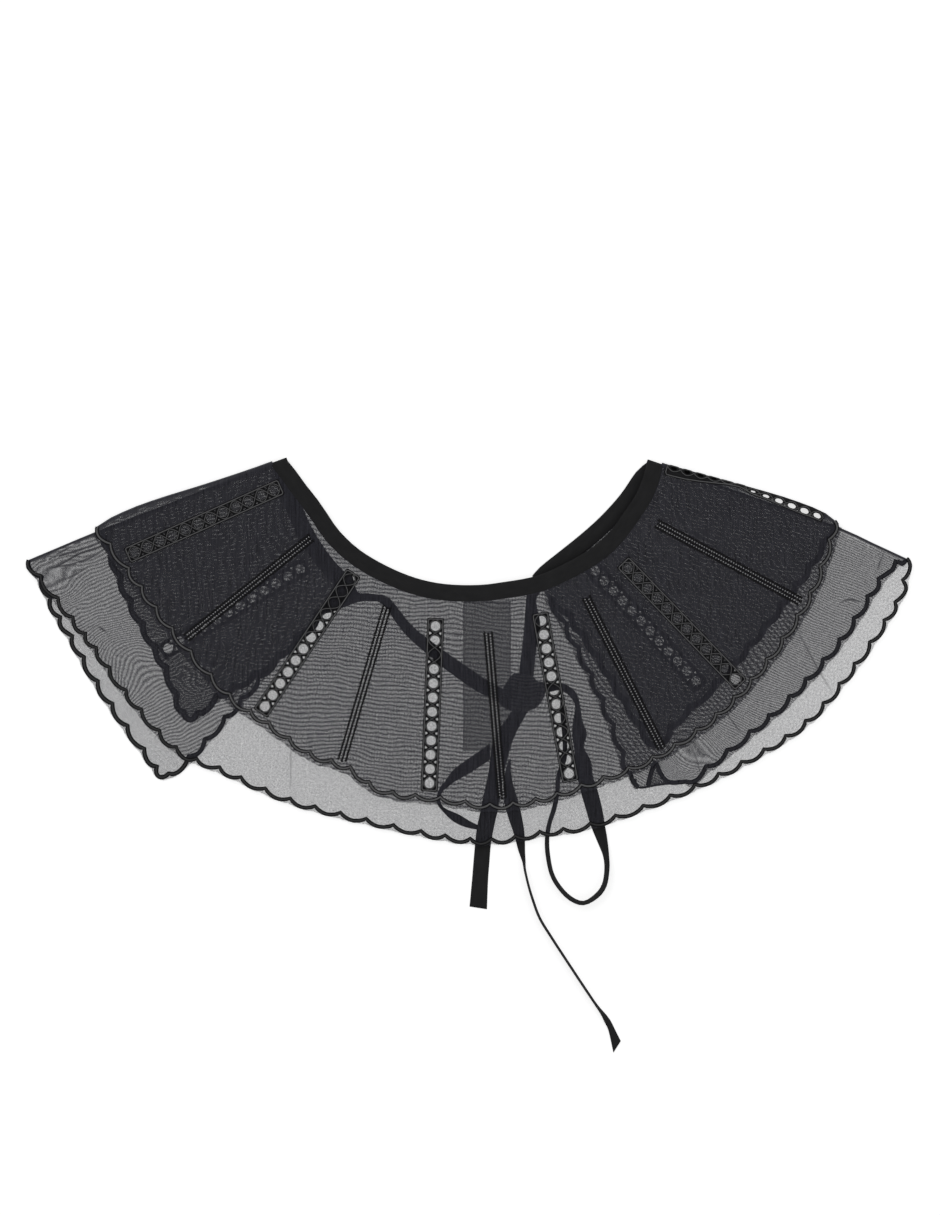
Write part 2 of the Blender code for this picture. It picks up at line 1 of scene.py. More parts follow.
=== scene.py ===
"""The look of a two-tier organza cape collar, laid flat and seen from straight above.

Places are in millimetres on the table, as in the collar's construction: x to the right and y away from
the hem, from the middle of the laid collar, and z up from the table. Meshes are made in metres.
"""
import math

import bmesh
import bpy
from mathutils import Matrix, Vector, noise
from mathutils.geometry import delaunay_2d_cdt

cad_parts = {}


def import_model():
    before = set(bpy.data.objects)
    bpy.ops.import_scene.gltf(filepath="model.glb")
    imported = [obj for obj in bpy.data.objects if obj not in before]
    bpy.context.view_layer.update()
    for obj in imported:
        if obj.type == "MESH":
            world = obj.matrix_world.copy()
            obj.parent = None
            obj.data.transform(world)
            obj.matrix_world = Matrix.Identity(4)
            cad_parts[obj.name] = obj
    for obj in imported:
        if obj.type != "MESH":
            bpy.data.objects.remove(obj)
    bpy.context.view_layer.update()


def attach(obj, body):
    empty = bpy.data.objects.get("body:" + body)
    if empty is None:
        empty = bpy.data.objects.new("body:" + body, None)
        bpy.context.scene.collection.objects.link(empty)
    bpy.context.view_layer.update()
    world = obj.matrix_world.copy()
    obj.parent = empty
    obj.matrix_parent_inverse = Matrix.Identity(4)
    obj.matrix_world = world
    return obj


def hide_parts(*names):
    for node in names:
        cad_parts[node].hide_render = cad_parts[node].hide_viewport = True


MM = 0.001

# The camera looks straight down on the middle of this field.
FIELD_MIDDLE = (0.3, 92.3)
FIELD_HEIGHT = 765.5
CAMERA_HEIGHT = 3500.0
SENSOR_HEIGHT = 24.0

# The height that the folds bend round. A ply's middle surface lies half above or half below it, and the
# bend between two plies is a flattened half round of this reach.
FOLD_MIDDLE = 3.2
UPPER_BEND = {"half": 2.65, "reach": 1.8}
LOWER_BEND = {"half": 1.4, "reach": 1.5}
BAND_BEND = {"half": 2.05, "reach": 2.2}
BAND_INSET = 3.2
BAND_WIDTH = 10.5
# How far the tiers' cloth reaches in under the binding.
BAND_OVERLAP = 1.2
BEND_STEPS = 8

# The binding's section from its neck edge: across, and half the thickness there.
BAND_PROFILE = (
    (0.0, 0.0), (0.25, 0.62), (0.9, 0.95), (2.2, 1.05), (5.0, 0.95), (8.4, 0.92),
    (9.1, 0.7), (9.6, 0.85), (10.2, 0.7), (10.5, 0.0),
)

SCALLOP_DEPTH = 3.1
SCALLOP_STEPS = 10
SCALLOP_POWER = 0.8
CORNER_DEPTH = {"upper": {"left": 4.5, "right": 4.5}, "lower": {"left": 5.0, "right": 1.2}}
CLOTH_STEP = 5.0
GRID_ROW = 0.87
MERGE_DISTANCE = 0.01
FILL_MARGIN = 0.0001
RIPPLE = {"height": 0.25, "length": 38.0}

# The cloth outside the middle of a scallop's cord, where its edge is frayed.
FRAY = {
    "upper": {"front": 3.0, "left": 1.6, "right": 1.6},
    "lower": {"front": 1.5, "left": 1.6, "right": 2.2},
}
FRAY_WAVER = {"height": 0.45, "length": 6.0, "level": 7.0}
# How much the frayed edge follows the scallops' arches. The rest of it lies level with their crowns.
FRAY_FOLLOW = 0.25

CORD = {"front": 1.25, "upper": 1.9, "lower": 1.45, "half_height": 0.5}
CORD_SIDES = 8
CORD_LIFT = 0.1
THIN_SIDES = 5

HOLE_COUNT = 12
HOLE_RADIUS = 3.05
HOLE_SIDES = 16
STRIP_HALF_WIDTH = 5.4
STRIP_END = 5.2
STRIP_LIFT = 0.3
STRIP_CORNER = 1.2
RAIL = {"inset": 0.8, "size": (0.7, 0.42)}
STRAND = {"reach": 3.95, "size": (0.46, 0.34), "over": 0.15, "sides": 6}
STRAND_STEPS = 10
STRAND_PLACES = range(-STRAND_STEPS // 2, (HOLE_COUNT - 1) * STRAND_STEPS + STRAND_STEPS // 2 + 1)
SIDE_HOLE = {"off": 3.15, "radius": 1.0, "ends": 0.45, "outer": 0.75}
LAST_HOLE_POINT = 0.4

# The strip that is folded along the right shoulder. Each row is an eyelet, from the neck on: how far its
# middle lies inside the fold, its half length along the strip, its half width, how much of the strip lies
# in front there, and whether the eyelet shows the table (1) or the strip's other half behind it (0). That
# other half is drawn as a flat patch darker than the ground: painted shade inside the fold.
FOLD_STRIP = {"first": 17.4, "pitch": 8.66, "step": 2.0}
FOLD_EYELETS = (
    (1.5, 1.9, 1.05, 7.2, 0), (1.6, 1.9, 1.05, 6.8, 0), (1.2, 1.9, 0.9, 5.8, 0), (0.9, 1.9, 0.7, 4.4, 0),
    (0.7, 1.4, 0.3, 3.0, 0), (1.0, 0.9, 0.2, 2.4, 0), (2.3, 1.6, 0.6, 4.7, 1), (2.9, 2.2, 1.0, 5.2, 1),
    (3.4, 2.6, 1.45, 6.2, 1), (3.8, 2.7, 1.55, 6.8, 1), (4.1, 2.8, 1.75, 7.2, 1), (3.7, 2.5, 1.6, 6.6, 1),
)
FOLD_SIDE_HOLE = {"inset": 1.5, "size": (0.55, 0.4), "first": 7, "sides": 8}
# How far inside the fold the ground starts, and where its rows of points lie as it bends.
FOLD_EDGE_INSET = 0.05
FOLD_ROWS = (0.3, 0.7, 1.2, 1.9)
# The rail's start: how far in from the fold, where its corners lie, where its long side starts, and how
# many steps it goes on past the last eyelet.
FOLD_RAIL = {"edge": 0.4, "corner": 2.0, "start": 1.0, "past": 5}
FOLD_STRAND = {"wider": 1.0, "edge": 0.25, "over": 0.1}
FOLD_HOLLOW_LIFT = 2.2

STITCH_ROWS = (-2.35, 0.0, 2.35)
# Painted highlights: small light dots between the rows of stitches, for the glints of the thread.
STITCH_HIGHLIGHT_ROWS = (-1.2, 1.2)
STITCH_PITCH = 1.75
STITCH = {"length": 1.7, "lean": 0.35, "size": (0.72, 0.25)}
STITCH_HIGHLIGHT = {"length": 0.4, "size": (0.42, 0.3), "lift": 0.15}
STITCH_LIFT = 0.1

# The neck edge of the binding, between the folds: x, y.
NECK_FRONT = (
    (-109.3, 178.3), (-102.4, 168.8), (-95.4, 160.0), (-88.5, 149.9), (-81.6, 140.2),
    (-69.0, 128.5), (-52.0, 118.4), (-33.7, 110.9), (-15.4, 107.1), (5.4, 106.5),
    (21.7, 108.4), (38.1, 111.2), (49.5, 115.0), (67.7, 124.1), (81.0, 133.1),
    (90.1, 142.4), (99.2, 155.0), (104.9, 163.8), (109.3, 174.5),
)
NECK_BACK = {
    "left": (
        (-111.2, 173.9), (-107.4, 161.9), (-103.0, 150.6), (-97.3, 139.2),
        (-90.4, 128.5), (-83.5, 119.7), (-76.4, 112.6),
    ),
    "right": (
        (104.9, 177.7), (94.8, 163.2), (82.2, 149.3), (69.6, 138.0),
        (57.0, 127.9), (44.4, 117.8), (39.4, 112.1),
    ),
}
NECK_STEP = 5.0

# The folded edge of each tier as it shows from above, from the neck to the hem: x, y.
UPPER_FOLD = {
    "left": (
        (-115.6, 187.7), (-135.1, 180.6), (-154.0, 174.2), (-172.3, 168.3),
        (-190.6, 162.7), (-209.5, 156.2), (-225.9, 148.9), (-233.5, 144.0),
    ),
    "right": (
        (112.5, 186.5), (123.2, 182.9), (142.1, 177.6), (160.3, 172.6), (178.6, 167.6),
        (197.5, 162.1), (215.8, 155.6), (224.3, 151.6), (230.2, 147.0),
    ),
}
LOWER_FOLD = {
    "left": (
        (-115.1, 186.5), (-134.5, 179.2), (-154.0, 171.8), (-194.0, 156.0),
        (-234.0, 140.5), (-255.9, 131.4), (-277.5, 122.3),
    ),
    "right": (
        (112.0, 185.3), (123.2, 181.3), (153.0, 171.0), (193.0, 157.0),
        (232.2, 143.0), (253.6, 133.1), (275.0, 123.2),
    ),
}

# Cusps of the scalloped edges: x, y, and the scallops from there to the next row. A count below 0 is a
# straight stretch, folded and with no cord.
UPPER_HEM = (
    (229.6, 146.8, 3), (213.8, 102.1, 3), (186.8, 59.9, 3), (155.0, 25.6, 3), (115.1, -1.3, 3),
    (70.4, -19.0, 2), (41.5, -27.8, 2), (12.9, -31.1, 2), (-18.3, -26.8, 2), (-48.0, -23.5, 1),
    (-63.1, -17.3, 1), (-75.0, -7.9, 2), (-100.5, 2.0, 2), (-125.9, 20.2, 2), (-150.9, 38.2, 3),
    (-186.8, 79.4, 3), (-214.2, 117.2, 2), (-234.0, 143.0, 0),
)
LOWER_HEM = (
    (275.0, 123.2, 1), (272.5, 109.7, 1), (267.7, 95.6, 3), (242.0, 57.0, 3), (211.4, 21.2, 3),
    (171.1, -4.6, 3), (126.3, -25.7, 3), (76.2, -43.3, 2), (44.2, -48.6, 2), (13.9, -53.2, 2),
    (-15.4, -50.9, 3), (-65.0, -40.5, 3), (-112.8, -27.7, 3), (-157.2, -8.0, 2), (-184.5, 4.6, 3),
    (-216.0, 40.3, 2), (-234.7, 67.1, 2), (-249.5, 86.3, 3), (-277.5, 122.2, 0),
)
UPPER_WING_HEM = {
    "left": ((-229.0, 138.0, 3), (-212.9, 97.0, 3), (-190.6, 54.8, 2), (-179.9, 26.5, 0)),
    "right": (
        (228.4, 144.9, 2), (213.3, 119.1, 2), (195.6, 94.5, 2), (174.8, 68.7, 2),
        (154.7, 45.4, 2), (125.1, 17.6, 0),
    ),
}
UPPER_WING_END = {
    "left": ((-171.7, 25.8, 1), (-159.1, 37.2, 2), (-135.8, 51.0, 2), (-106.8, 75.0, 2), (-88.5, 99.0, 0)),
    "right": ((116.2, 5.7, 2), (99.2, 34.0, 2), (82.2, 61.7, 2), (64.6, 86.9, 1), (53.0, 99.0, 0)),
}
LOWER_WING_HEM = {
    "left": (
        (-277.5, 121.9, 1), (-269.3, 111.5, 1), (-263.7, 98.9, 1), (-257.7, 86.3, 1),
        (-250.1, 74.3, 2), (-234.0, 46.0, 2), (-215.3, 17.9, 2), (-196.7, -7.6, 0),
    ),
    "right": (
        (275.0, 123.2, 1), (268.1, 121.6, 1), (257.4, 110.2, 3), (232.7, 72.3, 3), (201.3, 36.5, 2),
        (176.3, 14.4, 2), (149.0, -7.6, 1), (134.3, -17.3, -1), (106.5, -21.0, 0),
    ),
}
LOWER_WING_END = {
    "left": ((-189.4, -12.2, 1), (-176.8, -1.3, 2), (-154.4, 23.5, 3), (-121.3, 61.7, 3), (-88.5, 98.0, 0)),
    "right": ((101.7, -12.0, 2), (91.0, 18.9, 2), (77.2, 51.0, 2), (61.4, 81.9, 1), (51.5, 99.5, 0)),
}

TIERS = {
    "upper": {
        "fold": UPPER_FOLD, "bend": UPPER_BEND, "hem": UPPER_HEM,
        "wing_hem": UPPER_WING_HEM, "wing_end": UPPER_WING_END,
    },
    "lower": {
        "fold": LOWER_FOLD, "bend": LOWER_BEND, "hem": LOWER_HEM,
        "wing_hem": LOWER_WING_HEM, "wing_end": LOWER_WING_END,
    },
}

# Middles of the first and last hole of each openwork strip: x, y, x, y.
FRONT_STRIPS = {
    "strip_shoulder_left": (-123.0, 166.3, -210.7, 127.0),
    "strip_left": (-75.5, 109.9, -128.7, 30.0),
    "strip_middle_left": (-21.4, 80.6, -25.2, -18.3),
    "strip_middle_right": (45.2, 84.0, 62.6, -12.2),
    "strip_right": (99.9, 117.2, 167.3, 47.2),
}
WING_STRIPS = {
    "left": {"strip_back_left": (-106.8, 116.5, -189.9, 66.5)},
    "right": {"strip_back_right": (79.1, 115.5, 142.7, 46.0)},
}

# Ends of each double row of stitching on the upper tier: x, y, x, y.
STITCH_LINES = {
    "stitches_middle": (11.7, 76.2, 20.5, -29.0),
    "stitches_left": (-52.0, 92.6, -81.0, -6.3),
    "stitches_shoulder_left": (-99.9, 136.1, -179.9, 71.8),
    "stitches_right": (73.4, 98.3, 121.3, 2.8),
    "stitches_shoulder_right": (118.1, 144.9, 210.1, 95.1),
}

LABEL = {"left": -4.1, "right": 26.1, "top": 96.5, "bottom": 1.9, "z": 3.3}
LABEL_GRID = (8, 24)
LABEL_WAVE = {"height": 0.15, "across": 0.4, "along": 0.6}
LABEL_SEAM = {"count": 11, "half_length": 1.0, "inset": 1.2, "size": (0.3, 0.2), "lift": 0.15}

KNOT = (
    (20.8, 41.0), (26.8, 50.1), (31.8, 50.7), (40.0, 49.1), (42.5, 45.7), (46.9, 45.4),
    (47.6, 37.8), (43.2, 30.2), (36.9, 27.1), (26.1, 27.1), (20.5, 30.2), (18.3, 33.1),
)
# The knot's lump: the share of its outline, and the height there. Folds run over it above a height.
KNOT_ROWS = ((1.0, 0.1), (1.0, 1.2), (0.93, 2.0), (0.75, 2.3), (0.5, 2.4), (0.25, 2.4))
KNOT_FOLD = {"height": 0.35, "rate": 0.9, "lean": 0.4, "above": 1.9}
KNOT_STEP = 2.0

# Stretches of the flat tie as it lies: x and y of one edge, x and y of the other, the height of the
# first edge above the second, and the height of the second above the table.
TIES = {
    "tie_lead_left": (
        (-74.8, 115.6, -86.0, 106.0, 0, 0), (-72.7, 108.9, -88.2, 97.0, 0, 0),
        (-71.4, 103.8, -90.6, 88.6, 0, 0), (-69.4, 101.5, -81.6, 91.4, 0, 0),
        (-65.6, 101.3, -70.4, 95.6, 0, 0), (-60.8, 100.8, -62.1, 96.2, 0, 0),
        (-50.7, 98.3, -54.5, 93.9, 0, 0), (-36.5, 81.3, -41.3, 76.2, 0, 0),
        (-21.7, 69.3, -26.8, 63.0, 0, 0), (-7.6, 59.2, -12.9, 51.7, 0, 0),
        (8.2, 48.5, 2.8, 40.6, 0, 0), (20.0, 41.6, 17.6, 33.2, 0, 0),
        (25.0, 39.0, 23.0, 31.0, 0, 0),
    ),
    "tie_lead_right": (
        (39.1, 111.7, 46.8, 104.8, 0, 0), (36.2, 104.0, 43.8, 100.8, 0, 0),
        (35.6, 97.0, 41.9, 96.4, 0, 0), (35.0, 88.5, 43.3, 89.2, 0, 0),
        (34.6, 81.3, 44.5, 82.2, 0, 0), (33.9, 74.5, 43.7, 74.5, 0, 0),
        (33.3, 68.7, 42.4, 68.7, 0, 0), (31.2, 52.0, 40.4, 50.6, 0, 0),
        (30.2, 45.5, 39.2, 44.0, 0, 0),
    ),
    "bow_loop_right": (
        (48.1, 44.4, 48.4, 38.5, 0, 0), (57.6, 44.7, 57.0, 40.3, 1, 0),
        (63.9, 41.9, 60.8, 38.4, 1.5, 0), (67.7, 37.8, 64.3, 35.0, 1.5, 0),
        (69.9, 29.6, 66.5, 29.6, 1, 0), (71.2, 20.8, 65.2, 20.8, 0, 0),
        (74.0, 12.6, 64.6, 12.6, 0, 0), (72.1, 4.4, 65.8, 4.4, 0, 0),
        (76.5, -4.4, 66.5, -4.4, 0, 0), (77.5, -13.2, 67.7, -13.2, 0, 0),
        (80.3, -21.4, 69.6, -22.1, 0, 0), (83.5, -34.0, 73.4, -35.3, 0, 0),
        (85.2, -44.1, 76.5, -45.4, 0.5, 0), (86.8, -53.5, 80.3, -54.8, 1.5, 0),
        (87.9, -64.3, 84.1, -64.3, 4, 0), (87.9, -73.1, 85.0, -72.5, 7, 0),
        (86.0, -83.2, 83.5, -81.9, 8, 0), (80.8, -90.2, 79.0, -88.2, 8, 0),
        (71.8, -94.8, 71.8, -92.6, 8, 0), (63.1, -92.0, 64.3, -89.8, 8, 0),
        (55.7, -84.7, 57.7, -83.2, 8, 0), (50.6, -75.9, 53.0, -74.9, 6, 0),
        (48.0, -64.3, 50.8, -64.3, 4, 0), (47.4, -54.2, 50.2, -54.2, 2, 0),
        (48.6, -44.7, 51.5, -44.7, 2, 0), (51.8, -34.0, 54.7, -34.7, 2, 0),
        (53.7, -25.2, 56.5, -25.8, 2, 0), (54.6, -13.9, 57.5, -14.5, 2, 0),
        (58.1, -2.5, 61.2, -3.2, 2, 0), (58.7, 5.7, 61.6, 5.7, 2, 0),
        (58.1, 14.5, 61.0, 14.5, 2, 0), (57.4, 22.7, 60.4, 22.7, 2, 0),
        (57.0, 30.2, 60.0, 30.2, 1.5, 0), (57.4, 37.0, 60.0, 35.6, 1, 0),
    ),
    "bow_loop_left": (
        (13.0, 6.9, 13.0, -3.5, 0, 0), (5.4, 1.3, 4.1, -9.5, 0, 0),
        (-2.8, -4.4, -3.5, -14.2, 0, 0), (-10.4, -10.1, -9.1, -17.3, 0.5, 0),
        (-15.4, -17.0, -13.2, -20.5, 1.5, 0), (-18.9, -21.4, -16.7, -23.3, 2, 0),
        (-20.5, -25.8, -18.3, -26.5, 2, 0), (-20.5, -30.9, -18.3, -30.2, 2, 0),
        (-18.0, -34.7, -16.1, -33.7, 2, 0), (-14.8, -38.4, -11.0, -36.2, 1.5, 0),
        (-9.8, -42.8, -6.0, -38.4, 0.5, 0), (-2.8, -46.0, -0.3, -41.9, 0, 0),
        (4.7, -47.6, 5.4, -44.7, 0, 0), (10.4, -47.6, 10.4, -44.7, 0, 0),
    ),
    "tie_tail_wide": (
        (29.0, 31.5, 39.0, 31.5, 0, 0), (26.3, 26.6, 36.6, 26.6, 0, 0),
        (18.9, 15.8, 29.9, 14.5, 0, 0),
        (14.9, 8.2, 26.5, 6.3, 0, 0), (13.4, 0.6, 24.3, -1.9, 0, 0),
        (12.6, -7.0, 22.4, -8.8, 0, 0), (11.0, -16.4, 20.8, -17.6, 0, 0),
        (8.5, -27.1, 19.2, -28.4, 0, 0), (6.6, -37.2, 17.6, -36.5, 0, 1.3),
        (4.7, -46.0, 15.8, -44.1, 0, 1.3), (3.5, -56.7, 13.5, -56.7, 0, 0.4),
        (2.5, -67.7, 12.6, -67.7, 0, 0), (1.6, -78.8, 11.7, -79.4, 0, 0),
        (0.0, -96.1, 11.0, -97.8, 0, 0),
    ),
    "tie_tail_narrow": (
        (24.8, -3.4, 26.1, -3.1, 0, 0), (23.1, -8.8, 26.1, -10.1, 0, 0),
        (21.5, -17.6, 27.4, -18.9, 0, 0), (21.2, -26.5, 30.2, -28.0, 0, 0),
        (23.9, -38.4, 32.8, -38.4, 0, 0), (28.0, -50.7, 34.7, -50.4, 0.5, 0),
        (30.9, -61.4, 35.0, -60.5, 2, 0), (33.4, -68.0, 35.2, -68.0, 4, 0),
        (34.3, -73.1, 35.4, -72.5, 6, 0), (36.5, -82.5, 37.6, -82.2, 7, 0),
        (39.1, -91.4, 40.2, -90.7, 7, 0), (43.7, -103.6, 44.8, -103.0, 7, 0),
        (52.1, -117.2, 53.1, -116.6, 7, 0), (61.5, -131.6, 62.5, -131.0, 7, 0),
        (71.0, -146.0, 72.0, -145.4, 7, 0), (79.1, -158.1, 80.2, -157.5, 6, 0),
        (82.5, -163.4, 84.4, -162.4, 5, 0), (85.0, -168.8, 88.5, -167.3, 3, 0),
        (87.6, -174.5, 92.3, -174.8, 1, 0), (90.6, -188.2, 95.3, -180.8, 0, 0),
    ),
}
TIE_STEP = 4.0
TIE_WALL = 0.7
# The height of the tie's middle surface where it lies on the table.
TIE_LOW = 0.5
# The tie's section: the share of its width, and the share of its half thickness there.
TIE_PROFILE = ((0.0, 0.0), (0.04, 0.7), (0.14, 1.0), (0.5, 0.85), (0.86, 1.0), (0.96, 0.7), (1.0, 0.0))

# The corner of the lower tier's right wing that is turned up behind it: its tip and its two feet.
TURNED_CORNER = ((112.0, -20.2), (116.6, -5.4), (123.8, -18.4))
TURNED_CORD = (
    (112.2, -20.0), (116.6, -5.6), (120.2, -12.0), (124.0, -17.0), (129.0, -18.0), (137.0, -17.2),
)
FOLDED_HEM = ((104.6, -15.5), (106.5, -21.0), (120.0, -19.2), (137.0, -17.4))
FOLDED_HEM_HALF_WIDTH = 0.7
TURNED_DROP = 0.5
TURNED_STEP = 2.0

# Thread pitches in mm, the grain's turn, the share that each set of threads covers, how opaque the
# threads are, and the scale of the noise that they wander by.
ORGANZA = {
    "upper": {
        "pitch": (0.300, 0.315), "turn": math.radians(0.6), "coverage": (0.39, 0.57),
        "thread": 0.95, "wander": 26.0,
    },
    "lower": {
        "pitch": (0.36, 0.36), "turn": 0.0, "coverage": (0.24, 0.46),
        "thread": 0.92, "wander": 18.0,
    },
}
# How much closer a ply's threads look than that, and what the front loses of it between two places in x.
DENSER = {
    "upper": {"front": 0.0, "left": 0.16, "right": 0.16},
    "lower": {"front": 0.0, "left": 0.06, "right": 0.09},
}
THINNER = {"upper": 0.0, "lower": 0.12, "from": 80.0, "to": 240.0}
# A wing lies with its grain a little off the front's, and its threads wander more.
WING_GRAIN = {
    "left": {"turn": math.radians(-3.0), "stretch": (1.3, 1.15)},
    "right": {"turn": math.radians(5.0), "stretch": (1.27, 1.22)},
}
SLACK = {"front": 1.3, "left": 3.0, "right": 2.2}
# Places where a wing's grain swings round: tier, ply, x and y of the middle, radius, and its turn there.
SWIRLS = (
    ("lower", "left", -222.0, 52.0, 36.0, math.radians(-5.0)),
    ("lower", "left", -262.0, 112.0, 24.0, math.radians(4.0)),
    ("lower", "right", 140.0, 2.0, 24.0, math.radians(-5.0)),
    ("upper", "left", -172.0, 52.0, 24.0, math.radians(4.0)),
)

# How dark each fold's edge is, where the cloth turns down and is seen edge on, and how far that reaches
# over the front.
FOLD_EDGE = {"upper": {"left": 1.0, "right": 0.8}, "lower": {"left": 1.0, "right": 0.6}}
FOLD_SHOULDER = {"upper": {"left": 9.0, "right": 5.0}, "lower": {"left": 2.6, "right": 0.6}}

# Creases pressed into the cloth: which tier, which ply, how deep from 0 to 1, and the line, x and y.
CREASES = (
    ("lower", "front", 1.0, ((-271.5, 120.6), (-254.5, 125.8), (-242.0, 129.6), (-231.0, 134.0))),
    ("lower", "front", 0.8, ((-264.6, 121.6), (-259.5, 125.6), (-250.0, 131.0))),
    ("lower", "front", 0.8, ((-266.5, 117.2), (-250.0, 119.6), (-236.5, 124.6), (-228.0, 130.5))),
    ("lower", "left", 1.0, (
        (-268.5, 115.6), (-259.7, 118.3), (-246.5, 125.8), (-237.5, 128.9), (-222.0, 134.5),
    )),
    ("lower", "left", 0.6, ((-262.0, 108.5), (-250.0, 112.0), (-238.0, 119.5))),
    ("lower", "left", 0.7, ((-233.6, 80.6), (-228.2, 76.4))),
    ("lower", "right", 0.7, ((247.0, 95.5), (238.8, 97.4), (233.0, 94.8))),
    ("lower", "right", 0.5, ((262.0, 128.5), (258.5, 121.0), (256.5, 113.5))),
    ("lower", "right", 0.5, ((161.0, 26.5), (168.0, 17.5), (173.5, 10.5))),
    ("lower", "right", 0.45, ((139.0, 5.7), (143.0, -3.5), (145.2, -11.5))),
    ("lower", "front", 0.45, ((206.9, 76.9), (218.0, 56.0), (227.1, 40.3))),
    ("lower", "front", 0.3, ((-112.6, 7.5), (-112.4, -10.0), (-113.0, -22.0))),
    ("upper", "front", 0.4, ((192.0, 141.0), (197.0, 128.0), (199.0, 112.0))),
    ("upper", "front", 0.4, ((-141.0, 160.0), (-150.0, 148.0), (-153.0, 136.0))),
)
CREASE_HALF_WIDTH = 1.0
CREASE_LIFT = 0.6
CREASE_STEP = 2.0
# Where on a half wave a crease's depth starts, and how much of the half wave it spans.
CREASE_WAVE = (0.08, 0.84)

WHITE = (1.0, 1.0, 1.0, 1.0)
WORLD_STRENGTH = 0.33
TABLE_SIZE = 6.0
TABLE_GLOW = 0.68
# Lamps: name, place in metres, and power.
LAMPS = (("key", (-0.8, 1.1, 1.9), 8.0), ("fill", (1.2, -0.5, 1.8), 4.0))
LAMP_SIZE = 1.6


def grey(value, blue):
    """A colour that is neutral but for its blue."""
    return value, value, blue, 1.0


class Graph:
    """The nodes of one material, each made with what feeds it."""

    def __init__(self, name):
        self.material = bpy.data.materials.new(name)
        self.material.use_nodes = True
        self.tree = self.material.node_tree
        self.shader = self.tree.nodes["Principled BSDF"]

    def feed(self, socket, value):
        if isinstance(value, bpy.types.NodeSocket):
            self.tree.links.new(value, socket)
        else:
            socket.default_value = value

    def add(self, kind, settings, inputs, output=0):
        made = self.tree.nodes.new(kind)
        for key, value in settings.items():
            setattr(made, key, value)
        for key, value in inputs.items():
            self.feed(made.inputs[key], value)
        return made.outputs[output]

    def math(self, operation, a, b=0.0):
        return self.add("ShaderNodeMath", {"operation": operation}, {0: a, 1: b})

    def vector(self, operation, a, b):
        return self.add("ShaderNodeVectorMath", {"operation": operation}, {0: a, 1: b})

    def uv(self, name):
        return self.add("ShaderNodeUVMap", {"uv_map": name}, {})

    def split(self, vector):
        made = self.tree.nodes.new("ShaderNodeSeparateXYZ")
        self.feed(made.inputs[0], vector)
        return made.outputs[0], made.outputs[1]

    def ramp(self, value, low, high, first=0.0, last=1.0):
        return self.add("ShaderNodeMapRange", {}, {0: value, 1: low, 2: high, 3: first, 4: last})

    def mix(self, share, a, b):
        return self.add("ShaderNodeMix", {"data_type": "RGBA"}, {0: share, 6: a, 7: b}, 2)

    def noise(self, vector, scale, detail=2.0):
        return self.add("ShaderNodeTexNoise", {}, {"Vector": vector, "Scale": scale, "Detail": detail})

    def attribute(self, name):
        return self.add("ShaderNodeAttribute", {"attribute_name": name}, {}, 2)

    def bump(self, height, strength, distance):
        inputs = {"Height": height, "Strength": strength, "Distance": distance}
        self.feed(self.shader.inputs["Normal"], self.add("ShaderNodeBump", {}, inputs))

    def set(self, **values):
        for name, value in values.items():
            self.feed(self.shader.inputs[name.replace("_", " ")], value)


def organza(name, look):
    """Sheer plain weave: two crossing sets of threads that let the light through between them."""
    graph = Graph(name)
    cut = graph.uv("cut")
    inputs = {"Vector": cut, "Scale": look["wander"], "Detail": 3.0, "Roughness": 0.55}
    wander = graph.add("ShaderNodeTexNoise", {}, inputs, 1)
    drift = graph.vector("SUBTRACT", wander, (0.5, 0.5, 0.5))
    slack = graph.math("MULTIPLY", graph.attribute("slack"), MM)
    drift = graph.add("ShaderNodeVectorMath", {"operation": "SCALE"}, {0: drift, "Scale": slack})
    inputs = {"Vector": graph.uv("weave"), "Angle": look["turn"]}
    turned = graph.add("ShaderNodeVectorRotate", {"rotation_type": "Z_AXIS"}, inputs)
    across, along = graph.split(graph.vector("ADD", turned, drift))
    dense = graph.attribute("dense")
    grit = graph.noise(graph.vector("MULTIPLY", cut, (800.0, 800.0, 1.0)), 1.0, 1.0)
    closer = graph.math("ADD", dense, graph.ramp(grit, 0.0, 1.0, -0.4, 0.4))
    threads = []
    for place, pitch, coverage in zip((across, along), look["pitch"], look["coverage"]):
        level = math.cos(math.pi * coverage)
        wave = graph.math("SINE", graph.math("MULTIPLY", place, 2 * math.pi / (pitch * MM)))
        wave = graph.math("ADD", wave, closer)
        threads.append(graph.ramp(wave, level - 0.1, level + 0.1))
    cover = graph.math("MAXIMUM", threads[0], threads[1])
    opaque = graph.math("MULTIPLY", cover, look["thread"])
    slub = graph.noise(graph.vector("MULTIPLY", cut, (900.0, 60.0, 1.0)), 1.0)
    opaque = graph.math("MULTIPLY", opaque, graph.ramp(slub, 0.3, 0.7, 0.92, 1.05))
    opaque = graph.math("MAXIMUM", opaque, dense)
    crease = graph.ramp(graph.attribute("crease"), 0.0, 0.6, 0.0, 0.92)
    opaque = graph.math("MAXIMUM", opaque, crease)
    torn = graph.ramp(graph.attribute("fray"), 0.72, 1.0, 0.0, 0.7)
    loose = graph.noise(graph.vector("MULTIPLY", cut, (1400.0, 1400.0, 1.0)), 1.0, 1.0)
    kept = graph.ramp(graph.math("SUBTRACT", loose, torn), 0.0, 0.1)
    opaque = graph.math("MULTIPLY", opaque, kept)
    graph.bump(graph.math("ADD", threads[0], threads[1]), 0.3, 0.00005)
    tone = graph.mix(graph.ramp(slub, 0.3, 0.7), grey(0.027, 0.036), grey(0.052, 0.066))
    graph.set(Base_Color=tone, Roughness=0.5, Alpha=opaque, Specular_IOR_Level=0.3, IOR=1.35)
    return graph.material


